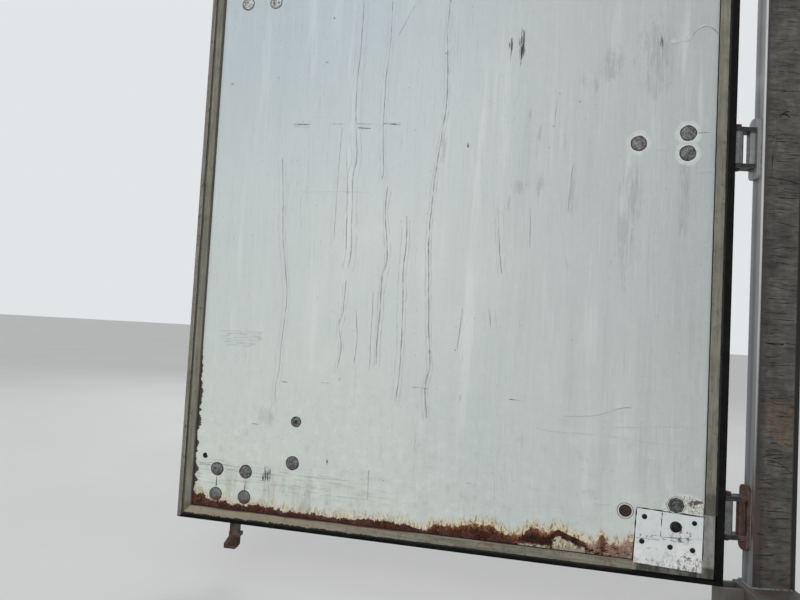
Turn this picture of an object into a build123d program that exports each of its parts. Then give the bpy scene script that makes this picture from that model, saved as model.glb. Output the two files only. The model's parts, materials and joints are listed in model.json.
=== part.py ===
from build123d import *
from math import cos, radians, sin
import os

# Rear swing door of a dry freight semi trailer on its corner post, left leaf.
# Millimetres. +X points to the trailer's front, +Y to its left side, +Z up.
# The origin is the middle of the post's section at the underside of its foot plate.
# The leaf is drawn where it stands, swung open about the hinge pins.

# Corner post and the end of the rear sill that carries it
post_depth = 94.0
post_width = 44.0
post_wall = 5.0
post_bend = 6.0
post_rear_outer_bend = 12.0
post_top = 2950.0
head_plate_thickness = 8.0
foot_plate_thickness = 10.0
sill_top = 140.0
sill_wall = 6.0
sill_reach_inboard = 110.0
sill_ahead_of_post = 15.0
bumper_depth = 48.0
bumper_plate = 8.0
bumper_below_sill_top = 4.0
bumper_bend = 10.0

# Hinges
hinge_count = 4
hinge_spacing = 807.0
first_hinge_above_sheet = 100.5
pin_behind_post = 44.0
pin_from_opening = 24.0
pin_radius = 6.35
pin_running_clearance = 0.05
pin_head_radius = 9.5
pin_head_height = 7.0
pin_tail = 4.0
knuckle_radius = 12.5
knuckle_length = 70.0
knuckle_inset = 0.4
ear_gap_clearance = 1.0
ear_thickness = 10.0
ear_radius = 13.0
weld_plate_thickness = 8.0
weld_plate_inboard = 16.0
weld_plate_outboard = 16.0
weld_plate_height = 139.0
weld_plate_corner = 13.0
web_to_pin = 25.0
web_width = 14.0
strap_thickness = 6.0
strap_root = 66.0
strap_base_bolt = 112.6
strap_bolt_rise = 22.3
strap_tip_bolt = 214.7
strap_base_pad = 19.0
strap_tip_pad = 17.0
strap_over_seal = 0.5
strap_joggle_run = 12.0
strap_rib_height = 5.0
strap_rib_root = 10.0
strap_rib_tip = 6.0
strap_rib_setback = 4.0
strap_rib_draft = 25.0
swing_open = 100.0

# Leaf: a plywood core between two steel skins
sheet_bottom = 180.0
sheet_height = 2621.0
sheet_width = 1180.0
seal_cover = 22.0
panel_from_pin = 35.0
outer_face_from_pin = 21.0
core_thickness = 18.0
skin_thickness = 1.0
spare_hole_radius = 7.0
spare_hole_from_sheet_edge = 27.0
spare_hole_above_sheet = 123.0

# Edge seal: a rigid channel with two flexible fins
channel_wall = 3.0
channel_outer_leg = 14.0
fin_root = 2.0
fin_root_slack = 0.2
fin_tip_thickness = 1.2
fin_tip_inset = 1.6
fin_heel = 1.5
outer_fin_reach = 12.0
hinge_fin_reach = 18.0
free_fin_reach = 16.0
bottom_fin_reach = 12.0
top_fin_reach = 12.0

# Repair plate over the corner where the channel is gone
patch_width = 136.0
patch_top_above_sheet = 106.0
patch_below_sheet = 10.0
patch_thickness = 2.0
patch_tilt = 2.5
patch_to_channel = 4.0

# Lock rod, its bearings and cams
rod_from_sheet_edge = 99.5
rod_radius = 13.35
rod_wall = 2.9
rod_off_face = 22.0
rod_clearance = 0.3
bearing_wall = 4.0
bearing_flange_width = 104.0
bearing_flange_height = 90.0
bearing_hump_height = 58.0
bearing_corner = 10.0
bearing_from_sheet_end = 62.7
middle_bearing_above_sheet = 1309.0
cam_end_from_sheet = 111.0
cam_height = 68.0
cam_thickness = 23.0
cam_ankle = 12.0
cam_toe_reach = 24.0
cam_toe_height = 12.0
cam_instep_height = 31.0
cam_heel_reach = 18.0
cam_heel_bottom = 33.0
cam_heel_top = 42.0
cam_heel_slope = 5.0
cam_sole_rise = 9.0
cam_sole_flat = 6.0
cam_edge = 3.0

# Handle, its hub on the rod and the catch that carries it
handle_above_sheet = 176.0
handle_length = 430.0
handle_thickness = 12.0
handle_root_height = 28.0
handle_tip_height = 22.0
handle_crank = 22.0
handle_crank_start = 235.0
handle_crank_run = 40.0
handle_pivot_from_rod = 40.0
handle_pivot_radius = 5.0
handle_eye_radius = 14.0
hub_radius = 18.0
hub_height = 50.0
lug_thickness = 6.0
lug_gap_clearance = 0.3
catch_from_sheet_edge = 258.0
catch_width = 44.0
catch_height = 136.0
catch_thickness = 5.0
catch_ledge_reach = 46.0
catch_under_handle = 0.4
catch_corner = 8.0
padlock_hole_radius = 6.0
padlock_hole_from_ledge_end = 11.0

# Places that follow from the sizes above
panel_thickness = core_thickness + 2 * skin_thickness
panel_width = sheet_width + 2 * seal_cover
panel_height = sheet_height + 2 * seal_cover
panel_bottom = sheet_bottom - seal_cover
panel_top = panel_bottom + panel_height
sheet_top = sheet_bottom + sheet_height
inner_face_from_pin = outer_face_from_pin + panel_thickness
free_edge_from_pin = panel_from_pin + panel_width
sheet_edge_from_pin = free_edge_from_pin - seal_cover
sheet_edge_from_hinge = panel_from_pin + seal_cover
pin_x = -post_depth / 2 - pin_behind_post
pin_y = -post_width / 2 + pin_from_opening
rod_from_pin = sheet_edge_from_pin - rod_from_sheet_edge
rod_beyond_pin = rod_off_face - outer_face_from_pin
handle_height = sheet_bottom + handle_above_sheet
hinge_heights = [sheet_bottom + first_hinge_above_sheet + i * hinge_spacing for i in range(hinge_count)]

turn = radians(swing_open)
along = Vector(-sin(turn), -cos(turn), 0)
outward = Vector(-cos(turn), sin(turn), 0)
upward = Vector(0, 0, 1)
pin_foot = Vector(pin_x, pin_y, 0)


def leaf_plan(height):
    """Level plane over the leaf: x runs from the pins to the free edge, y to the leaf's inner side."""
    return Plane(origin=pin_foot + upward * height, x_dir=along, z_dir=upward)


def leaf_face(beyond_pin):
    """Upright plane parallel to the leaf: x runs to the free edge, y up, z out of the outer face."""
    return Plane(origin=pin_foot + outward * beyond_pin, x_dir=along, z_dir=outward)


def save(piece, node):
    piece.part.label = node
    export_step(piece.part, f"parts/{node}.step")


os.makedirs("parts", exist_ok=True)
outer_face = leaf_face(-outer_face_from_pin)
inner_face = leaf_face(-inner_face_from_pin)
post_rear = Plane(origin=(-post_depth / 2, 0, 0), x_dir=(0, -1, 0), z_dir=(-1, 0, 0))

# Post: a pressed box section with a wide bend on its rear outer corner
with BuildPart() as post:
    with BuildSketch(Plane.XY.offset(sill_top)) as post_section:
        Rectangle(post_depth, post_width)
        corners = post_section.vertices()
        rear_outer = corners.group_by(Axis.X)[0].sort_by(Axis.Y)[-1]
        fillet([corner for corner in corners if corner != rear_outer], post_bend)
        fillet(post_section.vertices().group_by(Axis.X)[0].sort_by(Axis.Y)[-1], post_rear_outer_bend)
        offset(amount=-post_wall, mode=Mode.SUBTRACT)
    extrude(amount=post_top - head_plate_thickness - sill_top)
save(post, "corner_post")

with BuildPart() as head_plate:
    with BuildSketch(Plane.XY.offset(post_top - head_plate_thickness)):
        Rectangle(post_depth, post_width)
    extrude(amount=head_plate_thickness)
save(head_plate, "post_head_plate")

# Sill end: a box section that runs inboard, under the post
sill_depth = post_depth + sill_ahead_of_post
sill_width = post_width + sill_reach_inboard
sill_height = sill_top - foot_plate_thickness
sill_x = -sill_ahead_of_post / 2
sill_y = -sill_reach_inboard / 2

with BuildPart() as sill_end:
    with BuildSketch(Plane.XY.offset(foot_plate_thickness)):
        with Locations((sill_x, sill_y)):
            Rectangle(sill_depth, sill_width)
    extrude(amount=sill_height)
    inboard = sill_end.faces().sort_by(Axis.Y)[0]
    offset(amount=-sill_wall, openings=inboard)
save(sill_end, "sill_end")

with BuildPart() as foot_plate:
    with BuildSketch(Plane.XY):
        with Locations((sill_x, sill_y)):
            Rectangle(sill_depth, sill_width)
    extrude(amount=foot_plate_thickness)
save(foot_plate, "foot_plate")

# Bumper: plate bent to a channel, welded by its two edges to the sill's rear face
bumper_x = -post_depth / 2 - sill_ahead_of_post - bumper_depth / 2
with BuildPart() as bumper:
    with BuildSketch(Plane.XY.offset(foot_plate_thickness)) as bumper_section:
        with Locations((bumper_x, 0)):
            Rectangle(bumper_depth, post_width)
        fillet(bumper_section.vertices().group_by(Axis.X)[0], bumper_bend)
        with Locations((bumper_x + bumper_plate / 2, 0)):
            Rectangle(bumper_depth - bumper_plate, post_width - 2 * bumper_plate, mode=Mode.SUBTRACT)
    extrude(amount=sill_height - bumper_below_sill_top)
save(bumper, "corner_bumper")

# Hinges: a butt welded to the post, its pin, and a strap on the leaf's outer face
ear_inner = knuckle_length / 2 + ear_gap_clearance
ear_outer = ear_inner + ear_thickness
web_thickness = pin_behind_post - web_to_pin
knuckle_bore = pin_radius + pin_running_clearance
strap_flat = outer_face_from_pin - channel_wall - strap_over_seal
knuckle_top = knuckle_radius - knuckle_inset
joggle_start = 2 * knuckle_radius - strap_thickness / 2
joggle_end = joggle_start + strap_joggle_run
pad_start = strap_root - strap_thickness
rib_start = strap_root + strap_rib_setback
rib_end = strap_tip_bolt - strap_tip_pad - strap_rib_root

for number, height in enumerate(hinge_heights, start=1):
    with BuildPart() as butt:
        with BuildSketch(post_rear):
            with Locations(((weld_plate_inboard - weld_plate_outboard) / 2 - pin_y, height)):
                RectangleRounded(weld_plate_inboard + weld_plate_outboard, weld_plate_height, weld_plate_corner)
        extrude(amount=weld_plate_thickness)
        with BuildSketch(post_rear):
            with Locations((-pin_y, height)):
                Rectangle(web_width, 2 * ear_outer)
        extrude(amount=web_thickness)
        with BuildSketch(Plane.XY.offset(height - ear_outer)):
            with Locations((pin_x, pin_y)):
                Circle(ear_radius)
            with Locations((pin_x + pin_behind_post / 2, pin_y)):
                Rectangle(pin_behind_post, 2 * ear_radius)
        extrude(amount=ear_thickness)
        with BuildSketch(Plane.XY.offset(height + ear_inner)):
            with Locations((pin_x, pin_y)):
                Circle(ear_radius)
            with Locations((pin_x + pin_behind_post / 2, pin_y)):
                Rectangle(pin_behind_post, 2 * ear_radius)
        extrude(amount=ear_thickness)
        with BuildSketch(Plane.XY.offset(height - ear_outer)):
            with Locations((pin_x, pin_y)):
                Circle(pin_radius)
        extrude(amount=2 * ear_outer, mode=Mode.SUBTRACT)
    save(butt, f"hinge_butt_{number}")

    with BuildPart() as pin:
        with BuildSketch(Plane.XY.offset(height - ear_outer - pin_tail)):
            with Locations((pin_x, pin_y)):
                Circle(pin_radius)
        extrude(amount=2 * ear_outer + pin_tail)
        with BuildSketch(Plane.XY.offset(height + ear_outer)):
            with Locations((pin_x, pin_y)):
                RegularPolygon(pin_head_radius, 6)
        extrude(amount=pin_head_height)
    save(pin, f"hinge_pin_{number}")

    with BuildPart() as strap:
        with BuildSketch(outer_face):
            with Locations((strap_base_bolt, height - strap_bolt_rise), (strap_base_bolt, height + strap_bolt_rise)):
                Circle(strap_base_pad)
            with Locations((strap_tip_bolt, height)):
                Circle(strap_tip_pad)
            with Locations((strap_root, height)):
                Rectangle(1, knuckle_length)
            make_hull()
        extrude(amount=strap_thickness)
        with BuildSketch(outer_face.offset(strap_thickness)):
            with BuildLine():
                Polyline(
                    (rib_start, height - strap_rib_root),
                    (rib_end - strap_rib_tip, height - strap_rib_tip),
                    (rib_end, height),
                    (rib_end - strap_rib_tip, height + strap_rib_tip),
                    (rib_start, height + strap_rib_root),
                    close=True,
                )
            make_face()
        extrude(amount=strap_rib_height, taper=strap_rib_draft)
        with BuildSketch(leaf_plan(height - knuckle_length / 2)):
            with BuildLine():
                Polyline(
                    (0, knuckle_top),
                    (joggle_start, knuckle_top),
                    (joggle_end, strap_flat),
                    (pad_start, strap_flat),
                    (strap_root, outer_face_from_pin),
                    (strap_root, outer_face_from_pin - strap_thickness),
                    (pad_start, strap_flat - strap_thickness),
                    (joggle_end, strap_flat - strap_thickness),
                    (joggle_start, knuckle_top - strap_thickness),
                    (0, knuckle_top - strap_thickness),
                    close=True,
                )
            make_face()
            Circle(knuckle_radius)
            Circle(knuckle_bore, mode=Mode.SUBTRACT)
        extrude(amount=knuckle_length)
    save(strap, f"hinge_strap_{number}")

# Leaf panel: three flat pieces with one spare bolt hole through them
panel_middle = (panel_from_pin + panel_width / 2, panel_bottom + panel_height / 2)
spare_hole = (sheet_edge_from_pin - spare_hole_from_sheet_edge, sheet_bottom + spare_hole_above_sheet)
panel_layers = [
    ("inner_skin", 0, skin_thickness),
    ("plywood_core", skin_thickness, core_thickness),
    ("outer_skin", skin_thickness + core_thickness, skin_thickness),
]
for node, depth, thickness in panel_layers:
    with BuildPart() as layer:
        with BuildSketch(inner_face.offset(depth)):
            with Locations(panel_middle):
                Rectangle(panel_width, panel_height)
            with Locations(spare_hole):
                Circle(spare_hole_radius, mode=Mode.SUBTRACT)
        extrude(amount=thickness)
    save(layer, node)

# Edge seal. Each side runs on from the last, round the leaf, and is mitred to its neighbours.
# In a side's own plane x points out of the panel's edge and y from the inner to the outer face.
# No fin reaches past the tips of the fins that it meets at the corners.
near = panel_from_pin
far = free_edge_from_pin
patch_left = sheet_edge_from_hinge + patch_width
channel_gap_bottom = patch_left + patch_to_channel - panel_from_pin
channel_gap_hinge = seal_cover + patch_top_above_sheet + patch_to_channel
sides = [
    # name, corner along the leaf, corner height, out of the edge, run, length, fin reach, channel cut at start, at end
    ("bottom", far, panel_bottom, -upward, -along, panel_width, bottom_fin_reach, 0, channel_gap_bottom),
    ("hinge", near, panel_bottom, -along, upward, panel_height, hinge_fin_reach, channel_gap_hinge, 0),
    ("top", near, panel_top, upward, along, panel_width, top_fin_reach, 0, 0),
    ("free", far, panel_top, along, -upward, panel_height, free_fin_reach, 0, 0),
]
fin_reaches = [side[6] for side in sides]
for index, (name, corner_along, corner_height, out, run, length, fin_reach, cut_start, cut_end) in enumerate(sides):
    start = pin_foot - outward * inner_face_from_pin + along * corner_along + upward * corner_height
    side = Plane(origin=start, x_dir=out, z_dir=run)
    start_mitre = Plane(origin=start, z_dir=out + run)
    end_mitre = Plane(origin=start + run * length, z_dir=out - run)
    before = fin_reaches[index - 1]
    after = fin_reaches[(index + 1) % len(sides)]

    with BuildPart() as channel:
        first = cut_start if cut_start else -before
        last = length - cut_end if cut_end else length + after
        with BuildSketch(side.offset(first)):
            with BuildLine():
                Polyline(
                    (-seal_cover, -channel_wall),
                    (channel_wall, -channel_wall),
                    (channel_wall, panel_thickness + channel_wall),
                    (-channel_outer_leg, panel_thickness + channel_wall),
                    (-channel_outer_leg, panel_thickness),
                    (0, panel_thickness),
                    (0, 0),
                    (-seal_cover, 0),
                    close=True,
                )
            make_face()
        extrude(amount=last - first)
        split(bisect_by=start_mitre, keep=Keep.TOP)
        split(bisect_by=end_mitre, keep=Keep.TOP)
    save(channel, f"seal_channel_{name}")

    with BuildPart() as fins:
        with BuildSketch(side.offset(-before)):
            with BuildLine():
                Polyline(
                    (channel_wall, fin_root_slack - channel_wall),
                    (fin_reach, -fin_tip_inset),
                    (fin_reach, fin_tip_thickness - fin_tip_inset),
                    (channel_wall + fin_root, fin_heel),
                    (channel_wall + fin_root, panel_thickness - fin_heel),
                    (outer_fin_reach, panel_thickness + fin_tip_inset - fin_tip_thickness),
                    (outer_fin_reach, panel_thickness + fin_tip_inset),
                    (channel_wall, panel_thickness + channel_wall - fin_root_slack),
                    close=True,
                )
            make_face()
        extrude(amount=before + length + after)
        split(bisect_by=start_mitre, keep=Keep.TOP)
        split(bisect_by=end_mitre, keep=Keep.TOP)
    save(fins, f"seal_fins_{name}")

# Repair plate on the inner face, in the lower corner at the hinges
patch_height = patch_top_above_sheet + patch_below_sheet
with BuildPart() as patch:
    with BuildSketch(inner_face):
        with Locations((patch_left - patch_width / 2, sheet_bottom - patch_below_sheet + patch_height / 2)):
            Rectangle(patch_width, patch_height, rotation=patch_tilt)
    extrude(amount=-patch_thickness)
save(patch, "repair_plate")

# Rod bearings: a flange with a hump pressed over the rod
bearing_heights = [
    ("bottom", sheet_bottom + bearing_from_sheet_end),
    ("middle", sheet_bottom + middle_bearing_above_sheet),
    ("top", sheet_top - bearing_from_sheet_end),
]
hump_inner = rod_radius + rod_clearance
hump_outer = hump_inner + bearing_wall
for name, height in bearing_heights:
    with BuildPart() as bearing:
        with BuildSketch(outer_face):
            with Locations((rod_from_pin, height)):
                RectangleRounded(bearing_flange_width, bearing_flange_height, bearing_corner)
        extrude(amount=bearing_wall)
        with BuildSketch(leaf_plan(height - bearing_hump_height / 2)):
            with Locations((rod_from_pin, -rod_beyond_pin)):
                Circle(hump_outer)
            with Locations((rod_from_pin, outer_face_from_pin - rod_off_face / 2)):
                Rectangle(2 * hump_outer, rod_off_face)
        extrude(amount=bearing_hump_height)
        with BuildSketch(leaf_plan(height - bearing_flange_height / 2)):
            with Locations((rod_from_pin, -rod_beyond_pin)):
                Circle(hump_inner)
            with Locations((rod_from_pin, outer_face_from_pin - rod_off_face / 2)):
                Rectangle(2 * hump_inner, rod_off_face)
        extrude(amount=bearing_flange_height, mode=Mode.SUBTRACT)
    save(bearing, f"rod_bearing_{name}")

# Lock rod: a tube with a forged cam welded on each end
cam_bottom_z = sheet_bottom - cam_end_from_sheet
cam_top_z = sheet_top + cam_end_from_sheet
with BuildPart() as lock_rod:
    with BuildSketch(leaf_plan(cam_bottom_z + cam_height)):
        with Locations((rod_from_pin, -rod_beyond_pin)):
            Circle(rod_radius)
            Circle(rod_radius - rod_wall, mode=Mode.SUBTRACT)
    extrude(amount=cam_top_z - cam_bottom_z - 2 * cam_height)
save(lock_rod, "lock_rod")

rod_line = leaf_face(rod_beyond_pin)
cams = [
    # name, outer end's height, way to the rod
    ("bottom", cam_bottom_z, 1),
    ("top", cam_top_z, -1),
]
for name, end_height, way in cams:
    with BuildPart() as cam:
        with BuildSketch(rod_line.offset(-cam_thickness / 2)):
            with BuildLine():
                Polyline(
                    (rod_from_pin + cam_ankle, end_height + way * cam_heel_top),
                    (rod_from_pin + cam_ankle, end_height + way * cam_instep_height),
                    (rod_from_pin + cam_toe_reach, end_height + way * cam_toe_height),
                    (rod_from_pin + cam_toe_reach, end_height),
                    (rod_from_pin - cam_sole_flat, end_height),
                    (rod_from_pin - cam_ankle, end_height + way * cam_sole_rise),
                    (rod_from_pin - cam_ankle, end_height + way * (cam_heel_bottom - cam_heel_slope)),
                    (rod_from_pin - cam_heel_reach, end_height + way * cam_heel_bottom),
                    (rod_from_pin - cam_heel_reach, end_height + way * cam_heel_top),
                    close=True,
                )
            make_face()
        extrude(amount=cam_thickness)
        flat_sides = cam.faces().sort_by(Axis(pin_foot, outward))
        chamfer(flat_sides[0].edges() + flat_sides[-1].edges(), cam_edge)
        with BuildSketch(leaf_plan(end_height + way * cam_instep_height)):
            with Locations((rod_from_pin, -rod_beyond_pin)):
                Circle(rod_radius)
        extrude(amount=way * (cam_height - cam_instep_height))
    save(cam, f"rod_cam_{name}")

# Hub on the rod: a collar with two lugs that hold the handle
pivot_from_pin = rod_from_pin - handle_pivot_from_rod
lug_inner = handle_thickness / 2 + lug_gap_clearance
lug_outer = lug_inner + lug_thickness
lug_root = rod_from_pin - hub_radius
with BuildPart() as hub:
    with BuildSketch(leaf_plan(handle_height - hub_height / 2)):
        with Locations((rod_from_pin, -rod_beyond_pin)):
            Circle(hub_radius)
    extrude(amount=hub_height)
    for lug_face in (rod_line.offset(lug_inner), rod_line.offset(-lug_outer)):
        with BuildSketch(lug_face):
            with Locations((pivot_from_pin, handle_height)):
                Circle(handle_eye_radius)
            with Locations((lug_root + hub_radius / 2, handle_height)):
                Rectangle(hub_radius, hub_height)
            make_hull()
        extrude(amount=lug_thickness)
    with BuildSketch(rod_line.offset(-lug_outer)):
        with Locations((pivot_from_pin, handle_height)):
            Circle(handle_pivot_radius)
    extrude(amount=2 * lug_outer, mode=Mode.SUBTRACT)
    with BuildSketch(leaf_plan(handle_height - hub_height / 2)):
        with Locations((rod_from_pin, -rod_beyond_pin)):
            Circle(rod_radius)
    extrude(amount=hub_height, mode=Mode.SUBTRACT)
save(hub, "handle_hub")

with BuildPart() as pivot_pin:
    with BuildSketch(rod_line.offset(-lug_outer)):
        with Locations((pivot_from_pin, handle_height)):
            Circle(handle_pivot_radius)
    extrude(amount=2 * lug_outer)
save(pivot_pin, "handle_pivot_pin")

# Handle: a flat bar, cranked outwards for the hand
handle_tip = rod_from_pin - handle_length
crank_start = rod_from_pin - handle_crank_start
crank_end = crank_start - handle_crank_run
half = handle_thickness / 2
handle_line = -rod_beyond_pin
grip_line = handle_line - handle_crank
with BuildPart() as handle:
    with BuildSketch(leaf_plan(handle_height - handle_eye_radius)):
        with BuildLine():
            Polyline(
                (pivot_from_pin + handle_eye_radius, handle_line + half),
                (pivot_from_pin + handle_eye_radius, handle_line - half),
                (crank_start, handle_line - half),
                (crank_end, grip_line - half),
                (handle_tip, grip_line - half),
                (handle_tip, grip_line + half),
                (crank_end, grip_line + half),
                (crank_start, handle_line + half),
                close=True,
            )
        make_face()
    extrude(amount=2 * handle_eye_radius)
    with BuildSketch(rod_line.offset(-handle_thickness)):
        with Locations((pivot_from_pin, handle_height)):
            Circle(handle_root_height / 2)
        with Locations((handle_tip + handle_tip_height / 2, handle_height)):
            Circle(handle_tip_height / 2)
        make_hull()
    extrude(amount=handle_crank + 2 * handle_thickness, mode=Mode.INTERSECT)
    with BuildSketch(rod_line.offset(-handle_thickness)):
        with Locations((pivot_from_pin, handle_height)):
            Circle(handle_pivot_radius + pin_running_clearance)
    extrude(amount=2 * handle_thickness, mode=Mode.SUBTRACT)
save(handle, "lock_handle")

# Catch: a plate bolted to the leaf, with a ledge welded on it that carries the stowed handle
catch_from_pin = sheet_edge_from_pin - catch_from_sheet_edge
handle_slope = (handle_root_height - handle_tip_height) / 2 / (handle_length - handle_pivot_from_rod)
handle_under_catch = handle_root_height / 2 - handle_slope * (pivot_from_pin - catch_from_pin)
ledge_top = handle_height - handle_under_catch - catch_under_handle
ledge_edge = catch_ledge_reach - padlock_hole_from_ledge_end
with BuildPart() as catch:
    with BuildSketch(outer_face):
        with Locations((catch_from_pin, handle_height)):
            RectangleRounded(catch_width, catch_height, catch_corner)
    extrude(amount=catch_thickness)
save(catch, "handle_catch")

ledge_length = catch_ledge_reach - catch_thickness
with BuildPart() as ledge:
    with BuildSketch(leaf_plan(ledge_top)) as ledge_plan:
        with Locations((catch_from_pin, outer_face_from_pin - catch_thickness - ledge_length / 2)):
            Rectangle(catch_width, ledge_length)
        chamfer(ledge_plan.vertices().sort_by(Axis(pin_foot, outward))[-2:], catch_corner)
        with Locations((catch_from_pin, outer_face_from_pin - ledge_edge)):
            Circle(padlock_hole_radius, mode=Mode.SUBTRACT)
    extrude(amount=-catch_thickness)
save(ledge, "catch_ledge")
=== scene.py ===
import json
import math
import random
from functools import reduce
from operator import or_

import bpy
from mathutils import Matrix, Vector, noise

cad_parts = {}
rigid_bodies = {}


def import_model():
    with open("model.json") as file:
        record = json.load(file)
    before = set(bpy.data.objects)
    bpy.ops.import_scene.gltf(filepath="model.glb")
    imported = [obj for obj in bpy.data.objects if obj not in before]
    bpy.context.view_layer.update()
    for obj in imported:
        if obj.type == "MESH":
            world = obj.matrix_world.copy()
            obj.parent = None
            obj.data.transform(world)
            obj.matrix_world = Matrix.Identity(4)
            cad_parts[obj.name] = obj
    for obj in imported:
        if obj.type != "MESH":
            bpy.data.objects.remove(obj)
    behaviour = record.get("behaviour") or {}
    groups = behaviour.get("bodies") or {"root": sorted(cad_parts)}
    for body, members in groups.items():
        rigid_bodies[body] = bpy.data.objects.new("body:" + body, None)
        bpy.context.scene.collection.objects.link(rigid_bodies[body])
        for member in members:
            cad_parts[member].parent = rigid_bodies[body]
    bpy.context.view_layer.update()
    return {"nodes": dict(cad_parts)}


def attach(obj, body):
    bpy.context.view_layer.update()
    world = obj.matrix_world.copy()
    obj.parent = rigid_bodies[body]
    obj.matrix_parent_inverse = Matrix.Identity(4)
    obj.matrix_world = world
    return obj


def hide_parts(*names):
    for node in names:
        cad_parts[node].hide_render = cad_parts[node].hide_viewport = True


for leftover in list(bpy.data.objects):
    bpy.data.objects.remove(leftover)
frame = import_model()

# Leaf coordinates in mm: s from the free edge of the sheet, h above its bottom edge, n behind its inner face.
PIN = Vector((-0.091, 0.002, 0.0))
TURN = math.radians(100)
ALONG = Vector((-math.sin(TURN), -math.cos(TURN), 0.0))
OUT = Vector((-math.cos(TURN), math.sin(TURN), 0.0))
UP = Vector((0.0, 0.0, 1.0))
SHEET_EDGE = 1237.0
INNER_FACE = 41.0
SHEET_BOTTOM = 180.0
SHEET_TOP = 2621.0
SHEET_WIDTH = 1180.0
HINGES = (280.5, 1087.5, 1894.5, 2701.5)
BEARINGS = (62.7, 1309.0, 2558.3)
# Outer faces of the strap, a bearing and the catch, where the bolts' collars and nuts sit.
STRAP_FACE, BEARING_FACE, CATCH_FACE = -15.0, 24.0, 25.0
# Bolts of a strap, from the pin and above the hinge, and (s, h) of the others.
STRAP_BOLTS = ((112.6, 22.3), (112.6, -22.3), (214.7, 0.0))
ROD_S = 99.5
BEARING_BOLTS = [(ROD_S + i * 38, height + j * 30.8) for height in BEARINGS for i in (-1, 1) for j in (-1, 1)]
CATCH_BOLTS = ((257, 126), (260, 226))
# The post is a box section: x of its two sides, and half its width. Its face to the opening is at -y.
POST_REAR, POST_FAR, POST_HALF = -47, 40, 22


def leaf(s, h, n=0.0):
    return PIN + (ALONG * (SHEET_EDGE - s) + OUT * (n - INNER_FACE) + UP * (h + SHEET_BOTTOM)) * 0.001


def by_pin(u, w, z):
    """u from the pins along the leaf, w out of the leaf and z up, in mm."""
    return PIN + (ALONG * u + OUT * w + UP * z) * 0.001


def placed(name, data):
    """An object of its own in the scene."""
    made = bpy.data.objects.new(name, data)
    bpy.context.scene.collection.objects.link(made)
    return made


def tone(red, green, blue):
    """A colour as it shows on screen, 0 to 255, made linear."""
    parts = [v / 255 for v in (red, green, blue)]
    parts = [v / 12.92 if v <= 0.04045 else ((v + 0.055) / 1.055) ** 2.4 for v in parts]
    return (*parts, 1.0)


# Materials

def operator_of(operation):
    return lambda self, other: self.paint.math(operation, self, other)


class Value:
    """A number inside a material, with the usual arithmetic. | gives the greater of two."""

    __add__, __sub__, __mul__, __or__ = map(operator_of, ("ADD", "SUBTRACT", "MULTIPLY", "MAXIMUM"))

    def __init__(self, paint, socket):
        self.paint = paint
        self.socket = socket

    def __rsub__(self, other):
        return self.paint.math("SUBTRACT", other, self)

    def __abs__(self):
        return self.paint.math("ABSOLUTE", self, 0.0)

    def ramp(self, start, end, low=0.0, high=1.0):
        """This number going smoothly from low at start to high at end."""
        made = self.paint.node("MapRange", {"Value": self, "From Min": start, "From Max": end,
                                            "To Min": low, "To Max": high},
                               interpolation_type="SMOOTHSTEP", clamp=False)
        return Value(self.paint, made.outputs["Result"])

    def window(self, start, end, soft):
        """1 from start to end and 0 outside, over soft to each side of both."""
        return self.ramp(start - soft, start + soft) * self.ramp(end + soft, end - soft)


class Coat:
    """A colour inside a material, on which others are laid."""

    def __init__(self, paint, socket):
        self.paint = paint
        self.socket = socket

    def lay(self, share, *over):
        """Mixes in a share of another coat, or of the tone of three numbers."""
        made = self.paint.node("Mix", {"Factor": share}, data_type="RGBA", blend_type="MIX")
        a, b = ([s for s in made.inputs if s.identifier == name][0] for name in ("A_Color", "B_Color"))
        self.paint.put(a, self)
        self.paint.put(b, tone(*over) if len(over) == 3 else over[0])
        self.socket = [s for s in made.outputs if s.identifier == "Result_Color"][0]
        return self


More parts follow.
